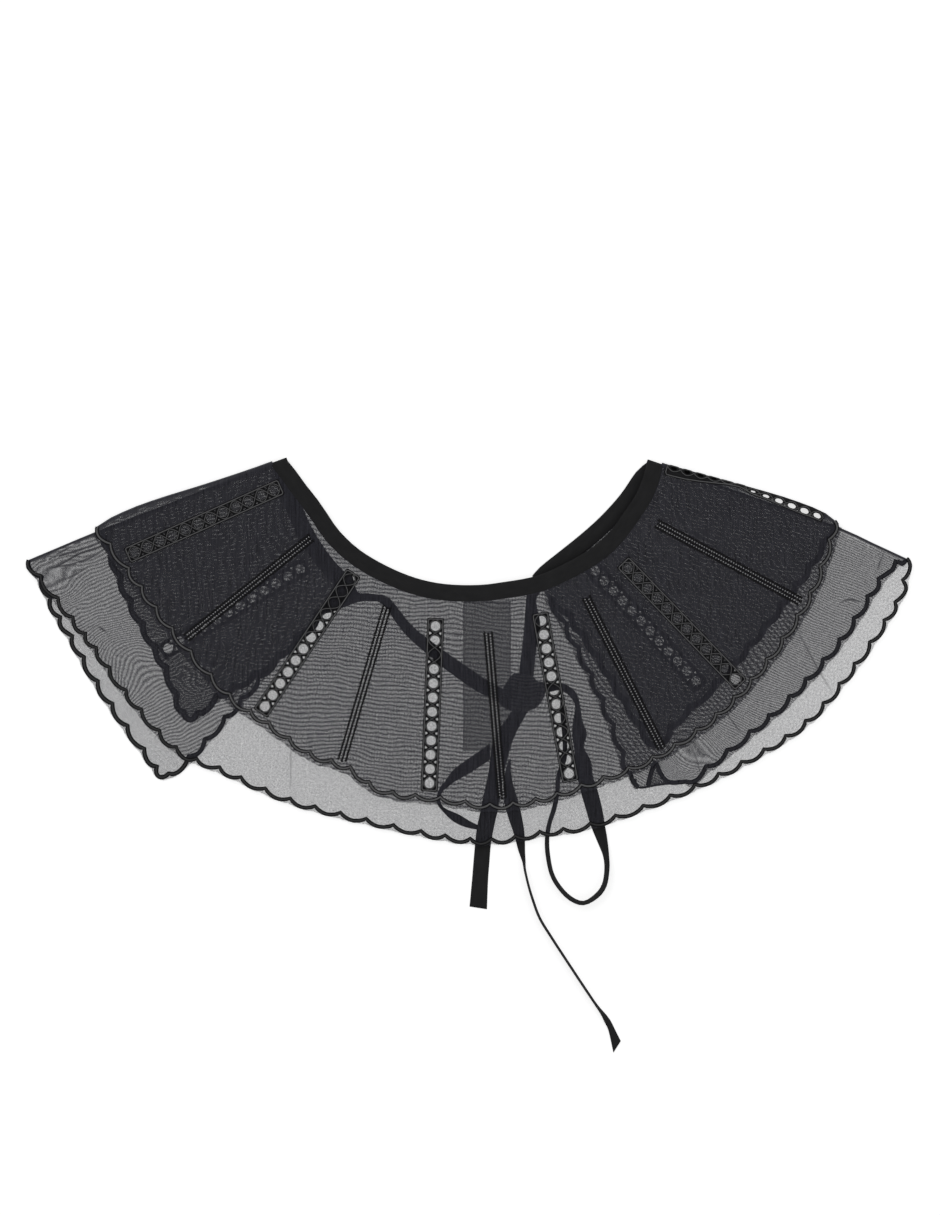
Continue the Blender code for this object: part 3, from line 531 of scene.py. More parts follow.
def thread(name, dark, light):
    """Satin stitches that run across a raised line, with a painted highlight along its crest."""
    graph = Graph(name)
    run, around = graph.split(graph.uv("run"))
    # The top of the line is painted lighter than its sides: a painted highlight where light falls on the
    # crest.
    painted_crest_highlight = graph.ramp(graph.math("SINE", graph.math("MULTIPLY", around, 2 * math.pi)), 0.78, 1.0)
    stitch = graph.math("SINE", graph.math("MULTIPLY", run, 2 * math.pi / (0.42 * MM)))
    fibre = graph.noise(graph.vector("MULTIPLY", graph.uv("run"), (3200.0, 6.0, 1.0)), 1.0)
    shade = graph.math("MULTIPLY", painted_crest_highlight, graph.ramp(fibre, 0.25, 0.75, 0.6, 1.15))
    shade = graph.math("MULTIPLY", shade, graph.ramp(stitch, -1.0, 1.0, 0.75, 1.0))
    graph.bump(stitch, 0.5, 0.00012)
    graph.set(Base_Color=graph.mix(shade, dark, light), Roughness=0.6, Specular_IOR_Level=0.3, IOR=1.25)
    return graph.material


def cloth(name, dark, light, pitch):
    """Opaque plain weave."""
    graph = Graph(name)
    run = graph.uv("run")
    along, across = graph.split(run)
    rate = 2 * math.pi / (pitch * MM)
    warp = graph.math("SINE", graph.math("MULTIPLY", graph.math("ADD", along, across), rate))
    weft = graph.math("SINE", graph.math("MULTIPLY", graph.math("SUBTRACT", along, across), rate))
    weave = graph.math("MULTIPLY", warp, weft)
    patch = graph.noise(graph.vector("MULTIPLY", run, (120.0, 260.0, 1.0)), 1.0, 3.0)
    uneven = graph.ramp(patch, 0.3, 0.7, 0.0, 0.6)
    shade = graph.math("ADD", uneven, graph.ramp(weave, -1.0, 1.0, 0.0, 0.4))
    graph.bump(weave, 0.35, 0.00008)
    tone = graph.mix(shade, dark, light)
    graph.set(Base_Color=tone, Roughness=0.9, Specular_IOR_Level=0.08, IOR=1.2)
    return graph.material


def tape(name):
    """The thin woven tape of the care label, blank and slightly see-through."""
    graph = Graph(name)
    run, across = graph.split(graph.uv("run"))
    ribs = graph.math("SINE", graph.math("MULTIPLY", run, 2 * math.pi / (0.5 * MM)))
    graph.bump(ribs, 0.3, 0.00005)
    edge = graph.ramp(graph.math("ABSOLUTE", graph.math("SUBTRACT", across, 0.5)), 0.44, 0.48)
    selvage = graph.math("MULTIPLY", edge, 0.12)
    opaque = graph.math("ADD", graph.ramp(ribs, -1.0, 1.0, 0.5, 0.58), selvage)
    tone = graph.mix(graph.ramp(ribs, -1.0, 1.0), grey(0.022, 0.024), grey(0.035, 0.038))
    graph.set(Base_Color=tone, Roughness=0.55, Alpha=opaque)
    return graph.material


def floor_paint():
    """A light table: white, and lit from inside as much as from above."""
    graph = Graph("light_table")
    place = graph.add("ShaderNodeTexCoord", {}, {}, 3)
    grain = graph.noise(place, 90.0, 4.0)
    tone = graph.mix(graph.ramp(grain, 0.3, 0.7), grey(0.80, 0.80), grey(0.82, 0.82))
    graph.set(Base_Color=tone, Roughness=0.9, Emission_Color=WHITE, Emission_Strength=TABLE_GLOW)
    return graph.material


def spline_point(points, span, t):
    """A point of the smooth curve through the points, and the curve's direction there."""
    last = len(points) - 1
    a, b, c, d = (Vector(points[min(max(span + k, 0), last)]) for k in (-1, 0, 1, 2))
    square = 2 * a - 5 * b + 4 * c - d
    cube = 3 * b - a - 3 * c + d
    place = 0.5 * (2 * b + (c - a) * t + square * t ** 2 + cube * t ** 3)
    heading = 0.5 * ((c - a) + 2 * square * t + 3 * cube * t ** 2)
    return place, heading.normalized()


def smooth_line(points, step):
    """Places along the smooth curve, the span ends among them."""
    made = []
    for span in range(len(points) - 1):
        length = (Vector(points[span + 1]) - Vector(points[span])).length
        count = max(1, round(length / step))
        made += [spline_point(points, span, k / count)[0] for k in range(count)]
    made.append(spline_point(points, len(points) - 2, 1.0)[0])
    return made


def left_of(direction):
    return Vector((-direction.y, direction.x))


def vertex_normals(line):
    """The left-hand normals at the points of a line."""
    made = []
    for i in range(len(line)):
        before = line[max(i - 1, 0)]
        after = line[min(i + 1, len(line) - 1)]
        made.append(left_of((after - before).normalized()))
    return made


def trimmed(line, start):
    """What is left of a line after a distance along it."""
    for i in range(len(line) - 1):
        length = (line[i + 1] - line[i]).length
        if start < length:
            return [line[i].lerp(line[i + 1], start / length)] + line[i + 1:]
        start -= length
    return line[-1:]


def outward_normals(line, side):
    """The normals that point away from the collar at a fold on this side."""
    return [n * (-1 if side == "left" else 1) for n in vertex_normals(line)]


def fold_axes(folds, inset, beyond=0.0):
    """The line along each fold where its flat plies end, run on past the hem by a distance."""
    axes = {}
    for side, shown in folds.items():
        line = smooth_line(shown, CLOTH_STEP * 2)
        if beyond:
            line.append(line[-1] + (line[-1] - line[-2]).normalized() * beyond)
        axes[side] = [p - n * inset for p, n in zip(line, outward_normals(line, side))]
    return axes


def ripple(x, y):
    """The slow unevenness that the laid plies share."""
    return RIPPLE["height"] * noise.noise(Vector((x, y, 0.0)) / RIPPLE["length"])


def scallops(rows, turn, depth=SCALLOP_DEPTH):
    """Cusp line points, each with its outward normal, how far the cord bulges there, and at most."""
    cusps = [row[:2] for row in rows]
    made = []
    for span, row in enumerate(rows[:-1]):
        steps = abs(row[2]) * SCALLOP_STEPS
        reach = depth if row[2] > 0 else 0.0
        for k in range(steps):
            place, heading = spline_point(cusps, span, k / steps)
            arch = math.sin(math.pi * (k % SCALLOP_STEPS) / SCALLOP_STEPS) ** SCALLOP_POWER
            made.append((place, left_of(heading) * turn, reach * arch, reach))
    place, heading = spline_point(cusps, len(cusps) - 2, 1.0)
    made.append((place, left_of(heading) * turn, 0.0, depth))
    return made


def cord_path(edge):
    return [place + normal * bulge for place, normal, bulge, depth in edge]


def cord_runs(edge):
    """The cord's stretches, which the folded part of a hem parts."""
    runs = [[]]
    for place, normal, bulge, depth in edge:
        if depth:
            runs[-1].append(place + normal * bulge)
        elif runs[-1]:
            runs.append([])
    return [run for run in runs if len(run) > 2]


def frayed_path(edge, fray):
    """The cloth's cut edge, outside the cord's crowns."""
    made = []
    for place, normal, bulge, depth in edge:
        at = Vector((place.x, place.y, FRAY_WAVER["level"])) / FRAY_WAVER["length"]
        waver = noise.noise(at) * FRAY_WAVER["height"]
        reach = depth * (1 - FRAY_FOLLOW) + bulge * FRAY_FOLLOW + fray + waver
        made.append(place + normal * (reach if depth else 0.0))
    return made


# A point's looks: how frayed it is, how dark a crease is there, and how far it is lifted.
PLAIN = (0.0, 0.0, 0.0)
FRAYED = (1.0, 0.0, 0.0)


class Ply:
    """A flat ply: its outline, holes and inner lines, each point with its looks."""

    def __init__(self):
        self.points = []
        self.edges = []
        self.loops = []
        self.looks = []

    def add_line(self, places, looks=PLAIN, closed=False):
        start = len(self.points)
        self.points += [Vector((p.x, p.y)) for p in places]
        self.looks += looks if isinstance(looks, list) else [looks] * len(places)
        count = len(places)
        spans = count if closed else count - 1
        self.edges += [(start + k, start + (k + 1) % count) for k in range(spans)]
        return list(range(start, start + count))

    def add_loop(self, places, looks=PLAIN):
        """A closed outline, which the filling needs counter-clockwise."""
        loop = self.add_line(places, looks, closed=True)
        turned = sum(a.cross(b) for a, b in zip(places, places[1:] + places[:1])) < 0
        self.loops.append(loop[::-1] if turned else loop)

    def add_holes(self, holes):
        for hole in holes:
            self.add_loop(hole)

    def add_creases(self, which, side):
        """Lines with a soft shoulder on each side, deepest in the middle of their length."""
        for tier, ply, depth, points in CREASES:
            if (tier, ply) == (which, side):
                line = smooth_line(points, CREASE_STEP)
                normals = vertex_normals(line)
                last = len(line) - 1
                start, span = CREASE_WAVE
                depths = [depth * math.sin(math.pi * (start + span * k / last)) for k in range(last + 1)]
                self.add_line(line, [(0.0, d, d * CREASE_LIFT) for d in depths])
                for off in (-CREASE_HALF_WIDTH, CREASE_HALF_WIDTH):
                    self.add_line([p + n * off for p, n in zip(line, normals)])

    def add_grid(self):
        """Points between the lines, so that the cloth can ripple."""
        xs = [p.x for p in self.points]
        ys = [p.y for p in self.points]
        row = 0
        y = min(ys)
        while y < max(ys):
            x = min(xs) + (row % 2) * CLOTH_STEP / 2
            while x < max(xs):
                self.points.append(Vector((x, y)))
                self.looks.append(PLAIN)
                x += CLOTH_STEP
            y += CLOTH_STEP * GRID_ROW
            row += 1

    def fill(self):
        """Triangles inside the first loop and outside the others."""
        result = delaunay_2d_cdt(self.points, self.edges, self.loops, 1, FILL_MARGIN, True)
        places, triangles, sources, owners = result[0], result[2], result[3], result[5]
        looks = [self.looks[source[0]] if source else PLAIN for source in sources]
        kept = [t for t, owner in zip(triangles, owners) if owner and all(o == 0 for o in owner)]
        return places, kept, looks


def grain_of(which, side):
    """A function from a wing's places to its weave, where the weave is turned, stretched and swirled."""
    look = WING_GRAIN[side]

    def grain(p):
        turned = Vector(p)
        turned.rotate(Matrix.Rotation(look["turn"], 2))
        turned *= Vector(look["stretch"])
        for tier, ply, x, y, radius, turn in SWIRLS:
            if (tier, ply) == (which, side):
                away = Vector((p.x - x, p.y - y))
                share = max(0.0, 1.0 - (away.length / radius) ** 2) ** 2
                swung = away.copy()
                swung.rotate(Matrix.Rotation(turn, 2))
                turned += share * (swung - away * Vector(look["stretch"]))
        return turned
    return grain


def dense_at(which, side, place):
    """How much closer the threads of a ply look at a place."""
    share = min(max((place.x - THINNER["from"]) / (THINNER["to"] - THINNER["from"]), 0.0), 1.0)
    return DENSER[which][side] - (THINNER[which] * share if side == "front" else 0.0)


class Tier:
    """The mesh of one tier, whose points know their place in the flat cut, their fray and crease."""

    def __init__(self, which):
        self.which = which
        self.mesh = bmesh.new()
        self.cut = self.mesh.verts.layers.float_vector.new("cut_place")
        self.fray = self.mesh.verts.layers.float.new("fray")
        self.crease = self.mesh.verts.layers.float.new("crease")
        self.slack = self.mesh.verts.layers.float.new("slack")
        self.dense = self.mesh.verts.layers.float.new("dense")
        self.weave = self.mesh.loops.layers.uv.new("weave")

    def vert(self, place, z, cut, ply, looks=PLAIN):
        made = self.mesh.verts.new((place.x, place.y, z + looks[2] + ripple(place.x, place.y)))
        made[self.cut] = Vector((cut.x, cut.y, 0.0)) * MM
        made[self.fray], made[self.crease] = looks[:2]
        made[self.slack] = SLACK[ply]
        made[self.dense] = dense_at(self.which, ply, place)
        return made

    def add_ply(self, ply, z, unfold, grain, side):
        ply.add_grid()
        places, triangles, looks = ply.fill()
        verts = {}
        for i in sorted({i for t in triangles for i in t}):
            verts[i] = self.vert(places[i], z, unfold(places[i]), side, looks[i])
        for t in triangles:
            face = self.mesh.faces.new([verts[i] for i in t])
            for loop, i in zip(face.loops, t):
                loop[self.weave].uv = grain(places[i]) * MM

    def add_bend(self, axis, side, bend, edge):
        outward = outward_normals(axis, side)
        arc = math.pi * bend["half"]
        rows = []
        for step in range(BEND_STEPS + 1):
            angle = math.pi * step / BEND_STEPS
            row = []
            for place, normal in zip(axis, outward):
                flat = place + normal * bend["reach"] * math.sin(angle)
                cut = place + normal * arc * step / BEND_STEPS
                height = FOLD_MIDDLE + bend["half"] * math.cos(angle)
                darkness = edge if step < BEND_STEPS else 0.0
                row.append(self.vert(flat, height, cut, "front", (0.0, darkness, 0.0)))
            rows.append(row)
        for upper, lower in zip(rows, rows[1:]):
            for k in range(len(axis) - 1):
                face = self.mesh.faces.new((upper[k], lower[k], lower[k + 1], upper[k + 1]))
                for loop in face.loops:
                    loop[self.weave].uv = loop.vert[self.cut].xy

    def finish(self, name, look):
        """The tier's object, with the cut's extents and area."""
        bmesh.ops.remove_doubles(self.mesh, verts=self.mesh.verts, dist=MERGE_DISTANCE)
        bmesh.ops.recalc_face_normals(self.mesh, faces=self.mesh.faces)
        uv = self.mesh.loops.layers.uv.new("cut")
        for face in self.mesh.faces:
            for loop in face.loops:
                loop[uv].uv = loop.vert[self.cut].xy
        area = 0.0
        for face in self.mesh.faces:
            corners = [loop[uv].uv for loop in face.loops]
            area += abs(sum(a.cross(b) for a, b in zip(corners, corners[1:] + corners[:1]))) / 2
        cuts = [vert[self.cut] for vert in self.mesh.verts]
        width = max(c.x for c in cuts) - min(c.x for c in cuts)
        length = max(c.y for c in cuts) - min(c.y for c in cuts)
        self.mesh.verts.layers.float_vector.remove(self.cut)
        piece = add_object(name, self.mesh, look)
        return piece, (width, length), area


def add_object(name, mesh, look):
    """An object from a bmesh in millimetres, shaded smooth, that rides on the collar."""
    bmesh.ops.scale(mesh, vec=(MM, MM, MM), verts=mesh.verts)
    data = bpy.data.meshes.new(name)
    mesh.to_mesh(data)
    mesh.free()
    data.shade_smooth()
    data.materials.append(look)
    made = bpy.data.objects.new(name, data)
    bpy.context.scene.collection.objects.link(made)
    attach(made, "root")
    return made


def add_tube(mesh, path, sizes, z, closed=False, sides=CORD_SIDES, rise=None):
    """A raised line: an oval section drawn along a path. Its run and the way round go to the uv map."""
    uv = mesh.loops.layers.uv.verify()
    half_width, half_height = sizes
    count = len(path)
    rows = []
    runs = [0.0]
    for i in range(count):
        before = path[(i - 1) % count if closed else max(i - 1, 0)]
        after = path[(i + 1) % count if closed else min(i + 1, count - 1)]
        across = left_of((after - before).normalized())
        lift = rise[i] if rise else ripple(path[i].x, path[i].y)
        row = []
        for k in range(sides):
            angle = 2 * math.pi * k / sides
            flat = path[i] + across * half_width * math.cos(angle)
            row.append(mesh.verts.new((flat.x, flat.y, z + lift + half_height * math.sin(angle))))
        rows.append(row)
        runs.append(runs[-1] + (path[(i + 1) % count] - path[i]).length * MM)
    spans = count if closed else count - 1
    for i in range(spans):
        here, there = rows[i], rows[(i + 1) % count]
        for k in range(sides):
            nxt = (k + 1) % sides
            face = mesh.faces.new((here[k], there[k], there[nxt], here[nxt]))
            places = ((runs[i], k), (runs[i + 1], k), (runs[i + 1], k + 1), (runs[i], k + 1))
            for loop, (run, turn) in zip(face.loops, places):
                loop[uv].uv = (run, turn / sides)
    if not closed:
        mesh.faces.new(rows[0])
        mesh.faces.new(list(reversed(rows[-1])))


def named_mesh():
    mesh = bmesh.new()
    mesh.loops.layers.uv.new("run")
    return mesh


def finish_lines(name, mesh, look):
    bmesh.ops.recalc_face_normals(mesh, faces=mesh.faces)
    return add_object(name, mesh, look)


def neck_sections(places, axis, turn):
    """Neck points and the directions across the band, from the fold's axis on."""
    line = smooth_line([axis[0], *places], NECK_STEP)
    across = [n * turn for n in vertex_normals(line)]
    across[0] = (axis[1] - axis[0]).normalized()
    return list(zip(line, across))


def front_sections(axes):
    """The same along the front, between the two folds."""
    line = smooth_line([axes["left"][0], *NECK_FRONT, axes["right"][0]], NECK_STEP)
    across = [-n for n in vertex_normals(line)]
    across[0] = (axes["left"][1] - axes["left"][0]).normalized()
    across[-1] = (axes["right"][1] - axes["right"][0]).normalized()
    return list(zip(line, across))


def strip_place(strip):
    """A function from places along and across a strip, from its first hole's middle, to the table."""
    first = Vector(strip[:2])
    last = Vector(strip[2:])
    along = (last - first).normalized()
    across = left_of(along)
    return lambda s, t: first + along * s + across * t


def strip_pitch(strip):
    return (Vector(strip[2:]) - Vector(strip[:2])).length / (HOLE_COUNT - 1)


def oval(place, s, t, radii, point=0.0, sides=HOLE_SIDES):
    """An opening round (s, t), drawn out towards the strip's start by a share of its radius."""
    made = []
    for k in range(sides):
        angle = 2 * math.pi * (k + 0.5) / sides
        drawn = 1.0 + point * max(0.0, -math.cos(angle)) ** 3
        made.append(place(s + radii[0] * drawn * math.cos(angle), t + radii[1] * math.sin(angle)))
    return made


def side_holes(place, s):
    """The two small openings beside a crossing of the strands."""
    radius = SIDE_HOLE["radius"]
    made = []
    for side in (-1, 1):
        middle = SIDE_HOLE["off"] * side
        made.append([
            place(s - radius, middle + SIDE_HOLE["ends"] * radius * side),
            place(s, middle - radius * side),
            place(s + radius, middle + SIDE_HOLE["ends"] * radius * side),
            place(s, middle + SIDE_HOLE["outer"] * radius * side),
        ])
    return made


def strip_holes(strip):
    """All the openings of a straight strip."""
    place = strip_place(strip)
    pitch = strip_pitch(strip)
    radii = (HOLE_RADIUS, HOLE_RADIUS)
    made = [oval(place, pitch * k, 0.0, radii) for k in range(HOLE_COUNT - 1)]
    made.append(oval(place, pitch * (HOLE_COUNT - 1), 0.0, radii, point=LAST_HOLE_POINT))
    for k in range(HOLE_COUNT - 1):
        made += side_holes(place, pitch * (k + 0.5))
    return made


def strip_outline(place, length, inset):
    """A strip's outline with rounded corners, drawn in by an inset."""
    half = STRIP_HALF_WIDTH - inset
    end = STRIP_END - inset
    corners = ((-end, -half, 180), (length + end, -half, 270), (length + end, half, 0), (-end, half, 90))
    round_off = STRIP_CORNER
    made = []
    for s, t, start in corners:
        middle_s = s + (round_off if s < 0 else -round_off)
        middle_t = t + (round_off if t < 0 else -round_off)
        for k in range(4):
            angle = math.radians(start + 30 * k)
            made.append(place(middle_s + round_off * math.cos(angle), middle_t + round_off * math.sin(angle)))
    return made


def add_plate(mesh, ply, height):
    """The embroidered ground between a strip's openings, at the height that each place has."""
    places, triangles, looks = ply.fill()
    verts = {}
    for t in triangles:
        for i in t:
            if i not in verts:
                verts[i] = mesh.verts.new((*places[i], height(places[i]) + ripple(*places[i])))
        mesh.faces.new([verts[i] for i in t])


def make_strip(name, strip, z, looks):
    """A ladder strip: its ground with the openings, a rail all round and two crossing strands."""
    place = strip_place(strip)
    pitch = strip_pitch(strip)
    length = pitch * (HOLE_COUNT - 1)
    lift = z + STRIP_LIFT
    ply = Ply()
    ply.add_loop(strip_outline(place, length, 0.0))
    ply.add_holes(strip_holes(strip))
    mesh = named_mesh()
    add_plate(mesh, ply, lambda p: lift)
    ground = finish_lines(name + "_ground", mesh, looks["ground"])

    mesh = named_mesh()
    add_tube(mesh, strip_outline(place, length, RAIL["inset"]), RAIL["size"], lift, closed=True)
    for phase in (1, -1):
        path = []
        for k in STRAND_PLACES:
            s = pitch * k / STRAND_STEPS
            path.append(place(s, phase * STRAND["reach"] * math.cos(math.pi * s / pitch)))
        add_tube(mesh, path, STRAND["size"], lift + STRAND["over"] * phase, sides=STRAND["sides"])
    return [ground, finish_lines(name, mesh, looks["thread"])]


def fold_place(axis):
    """Places from the neck along the right fold and inwards from its silhouette, to the table."""
    def place(s, depth):
        line = trimmed(axis, s)
        along = (line[1] - line[0]).normalized()
        return line[0] - left_of(along) * (depth - UPPER_BEND["reach"])
    return place


def fold_height(depth):
    """The height of the bend's cloth above the table at a depth inside the silhouette."""
    share = max(0.0, 1.0 - depth / UPPER_BEND["reach"])
    return FOLD_MIDDLE + UPPER_BEND["half"] * math.sqrt(1.0 - share ** 2)


def fold_eyelets(place):
    """The folded strip's openings that show the table."""
    made = []
    for k, (depth, half_length, half_width, width, open_behind) in enumerate(FOLD_EYELETS):
        if open_behind:
            s = FOLD_STRIP["first"] + FOLD_STRIP["pitch"] * k
            made.append(oval(place, s, depth, (half_length, half_width)))
    hole = FOLD_SIDE_HOLE
    for k in range(hole["first"], HOLE_COUNT - 1):
        s = FOLD_STRIP["first"] + FOLD_STRIP["pitch"] * (k + 0.5)
        made.append(oval(place, s, fold_width(s) - hole["inset"], hole["size"], sides=hole["sides"]))
    return made


def fold_width(s):
    """How much of the folded strip lies in front, at a distance from the neck."""
    at = min(max((s - FOLD_STRIP["first"]) / FOLD_STRIP["pitch"], 0.0), HOLE_COUNT - 1.001)
    k = int(at)
    before, after = FOLD_EYELETS[k][3], FOLD_EYELETS[k + 1][3]
    return before + (after - before) * (at - k)


def add_fold_plate(mesh, place, holes):
    """The embroidered ground of the folded strip, as far as it lies in front."""
    start = FOLD_STRIP["first"] - STRIP_END
    length = FOLD_STRIP["pitch"] * (HOLE_COUNT - 1) + 2 * STRIP_END
    count = int(length / FOLD_STRIP["step"])
    runs = [start + length * k / count for k in range(count + 1)]
    near = [place(s, FOLD_EDGE_INSET) for s in runs]
    far = [place(s, fold_width(s)) for s in runs]
    ply = Ply()
    ply.add_loop(near + far[::-1])
    for depth in FOLD_ROWS:
        ply.add_line([place(s, depth) for s in runs[1:-1]])
    ply.add_holes(holes)

    def height(at):
        return fold_height(min((at - p).length for p in near)) + STRIP_LIFT

    add_plate(mesh, ply, height)


def make_fold_strip(axis, looks):
    """The strip folded along the right shoulder: ground, rail, strands, and the half behind in painted shade.
    """
    place = fold_place(axis)
    mesh = named_mesh()
    add_fold_plate(mesh, place, fold_eyelets(place))
    # This ground is drawn lighter than a flat strip's: painted light on the rounded fold.
    ground = finish_lines("strip_fold_right_ground", mesh, looks["fold_ground_painted_light"])

    mesh = named_mesh()
    first = FOLD_STRIP["first"]
    pitch = FOLD_STRIP["pitch"]
    lift = STRIP_LIFT * 2
    start = first - STRIP_END + RAIL["inset"]
    corner = FOLD_RAIL["corner"]
    places = [(start, FOLD_RAIL["edge"]), (start, corner), (start, fold_width(start) - corner)]
    for k in range(int(pitch * (HOLE_COUNT - 1) / FOLD_STRIP["step"]) + FOLD_RAIL["past"]):
        s = start + FOLD_RAIL["start"] + FOLD_STRIP["step"] * k
        places.append((s, fold_width(s) - RAIL["inset"]))
    path = [place(s, depth) for s, depth in places]
    heights = [fold_height(depth) + lift + ripple(*p) for (s, depth), p in zip(places, path)]
    add_tube(mesh, path, RAIL["size"], 0.0, rise=heights)
    for phase in (1, -1):
        path = []
        rise = []
        for k in STRAND_PLACES:
            nearest = min(max(round(k / STRAND_STEPS), 0), HOLE_COUNT - 1)
            middle, half_length, half_width, width, open_behind = FOLD_EYELETS[nearest]
            swing = (half_width + FOLD_STRAND["wider"]) * math.cos(math.pi * k / STRAND_STEPS) * phase
            depth = min(max(middle + swing, FOLD_STRAND["edge"]), width - RAIL["inset"])
            path.append(place(first + pitch * k / STRAND_STEPS, depth))
            rise.append(fold_height(depth) + lift + FOLD_STRAND["over"] * phase + ripple(*path[-1]))
        add_tube(mesh, path, STRAND["size"], 0.0, sides=STRAND["sides"], rise=rise)
    strands = finish_lines("strip_fold_right", mesh, looks["thread"])

    # Where an eyelet shows the strip's other half, a flat patch darker than the ground: painted shade in the
    # fold.
    mesh = named_mesh()
    for k, (depth, half_length, half_width, width, open_behind) in enumerate(FOLD_EYELETS):
        if not open_behind:
            z = fold_height(depth) + STRIP_LIFT * FOLD_HOLLOW_LIFT
            outline = oval(place, first + pitch * k, depth, (half_length, half_width))
            mesh.faces.new([mesh.verts.new((p.x, p.y, z + ripple(*p))) for p in outline])
    painted_shade_patches = finish_lines("strip_fold_right_eyelets", mesh, looks["shade"])
    return [ground, strands, painted_shade_patches]


def make_stitches(name, ends, z, looks):
    """A double row of stitching: three rows of short leaning stitches with painted highlights between them,
    light dots for the thread's glints.
    """
    place = strip_place(ends)
    count = int((Vector(ends[2:]) - Vector(ends[:2])).length / STITCH_PITCH)
    half = STITCH["length"] / 2
    mesh = named_mesh()
    for row, off in enumerate(STITCH_ROWS):
        lean = STITCH["lean"] * (1 if row % 2 else -1)
        for k in range(count):
            s = STITCH_PITCH * (k + 0.5 * (row % 2))
            path = [place(s - half, off - lean), place(s, off), place(s + half, off + lean)]
            add_tube(mesh, path, STITCH["size"], z, sides=THIN_SIDES)
    highlights = named_mesh()
    for row, off in enumerate(STITCH_HIGHLIGHT_ROWS):
        for k in range(count - 1):
            s = STITCH_PITCH * (k + 0.25 + 0.5 * row)
            path = [place(s, off), place(s + STITCH_HIGHLIGHT["length"], off)]
            add_tube(highlights, path, STITCH_HIGHLIGHT["size"], z + STITCH_HIGHLIGHT["lift"], sides=THIN_SIDES)
    rows = finish_lines(name, mesh, looks["stitch"])
    return [rows, finish_lines(name + "_highlights", highlights, looks["stitch_highlight"])]


def ply_heights(bend):
    """The heights of the front's and the wings' middle surfaces."""
    return FOLD_MIDDLE + bend["half"], FOLD_MIDDLE - bend["half"]


def add_turned_corner(tier, cords, z, unfold):
    """The corner of the lower tier's right wing that is turned up behind it, and the folded hem there."""
    corner = Ply()
    corner.add_loop([Vector(p) for p in TURNED_CORNER])
    tier.add_ply(corner, z, unfold, lambda p: p, "right")
    for points, half_width in ((TURNED_CORD, CORD["lower"]), (FOLDED_HEM, FOLDED_HEM_HALF_WIDTH)):
        add_tube(cords, smooth_line(points, TURNED_STEP), (half_width, CORD["half_height"]), z)


def make_tier(which, looks):
    """One tier's cloth and its corded edges."""
    name = which + "_tier_cloth"
    shape = TIERS[which]
    bend = shape["bend"]
    fray = FRAY[which]
    band = BAND_WIDTH - BAND_OVERLAP
    band_axes = fold_axes(UPPER_FOLD, BAND_INSET)
    axes = fold_axes(shape["fold"], bend["reach"], beyond=fray["front"])
    tier = Tier(which)
    folded = {side: trimmed(axes[side], band) for side in axes}
    openwork = which == "upper"
    front_z, wing_z = ply_heights(bend)

    front = Ply()
    hem_edge = scallops(shape["hem"], 1)
    outer = frayed_path(hem_edge, fray["front"])
    right_side = folded["right"]
    left_side = list(reversed(folded["left"]))
    neck = [place + across * band for place, across in front_sections(band_axes)]
    skip = SCALLOP_STEPS // 3
    outer = outer[skip:-skip]
    outline = neck + right_side + outer + left_side
    shoulders = FOLD_SHOULDER[which]
    dark = {side: (0.0, FOLD_EDGE[which][side], 0.0) if shoulders[side] else PLAIN for side in folded}
    outline_looks = [PLAIN] * len(neck) + [dark["right"]] * len(right_side)
    outline_looks += [FRAYED] * len(outer) + [dark["left"]] * len(left_side)
    front.add_loop(outline, outline_looks)
    front.add_line(cord_path(hem_edge)[skip:-skip])
    for side, line in folded.items():
        if shoulders[side]:
            inner = [p - n * shoulders[side] for p, n in zip(line, outward_normals(line, side))]
            front.add_line(inner[1:-1])
    if openwork:
        holes = fold_eyelets(fold_place(axes["right"]))
        for strip in FRONT_STRIPS.values():
            holes += strip_holes(strip)
        front.add_holes(holes)
    front.add_creases(which, "front")
    tier.add_ply(front, front_z, lambda p: p, lambda p: p, "front")

    mesh = named_mesh()
    add_tube(mesh, cord_path(hem_edge), (CORD["front"], CORD["half_height"]), front_z + CORD_LIFT)

    for side, turn in (("left", -1), ("right", 1)):
        wing = Ply()
        wing_hem = shape["wing_hem"][side]
        wing_end = shape["wing_end"][side]
        corner = (wing_hem[-1][:2] + (1,), wing_end[0][:2] + (0,))
        edge = scallops(wing_hem, turn)[:-1]
        edge += scallops(corner, turn, CORNER_DEPTH[which][side])[:-1]
        edge += scallops(wing_end, turn)
        outer = frayed_path(edge, fray[side])[skip:]
        sections = neck_sections(NECK_BACK[side], band_axes[side], turn)
        inner = [place + across * band for place, across in reversed(sections)]
        outline = folded[side] + outer + inner
        outline_looks = [PLAIN] * len(folded[side]) + [FRAYED] * len(outer)
        outline_looks += [PLAIN] * len(inner)
        wing.add_loop(outline, outline_looks)
        wing.add_line(cord_path(edge)[skip:])
        if openwork:
            holes = fold_eyelets(fold_place(axes[side])) if side == "right" else []
            for strip in WING_STRIPS[side].values():
                holes += strip_holes(strip)
            wing.add_holes(holes)
        start = folded[side][0]
        away = left_of((folded[side][-1] - start).normalized()) * (-1 if side == "left" else 1)
        arc = math.pi * bend["half"]

        def unfold(p, start=start, away=away, arc=arc):
            return p - away * (2 * (p - start).dot(away) - arc)

        wing.add_creases(which, side)
        tier.add_ply(wing, wing_z, unfold, grain_of(which, side), side)
        tier.add_bend(folded[side], side, bend, FOLD_EDGE[which][side])
        if which == "lower" and side == "right":
            add_turned_corner(tier, mesh, wing_z - TURNED_DROP, unfold)
        for run in cord_runs(edge):
            add_tube(mesh, run, (CORD[which], CORD["half_height"]), wing_z)

    piece, flat, area = tier.finish(name, looks[which])
    cords = finish_lines(name + "_cord", mesh, looks["thread" if openwork else "dark_thread"])
    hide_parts(which + "_tier")
    return piece, cords, flat, area


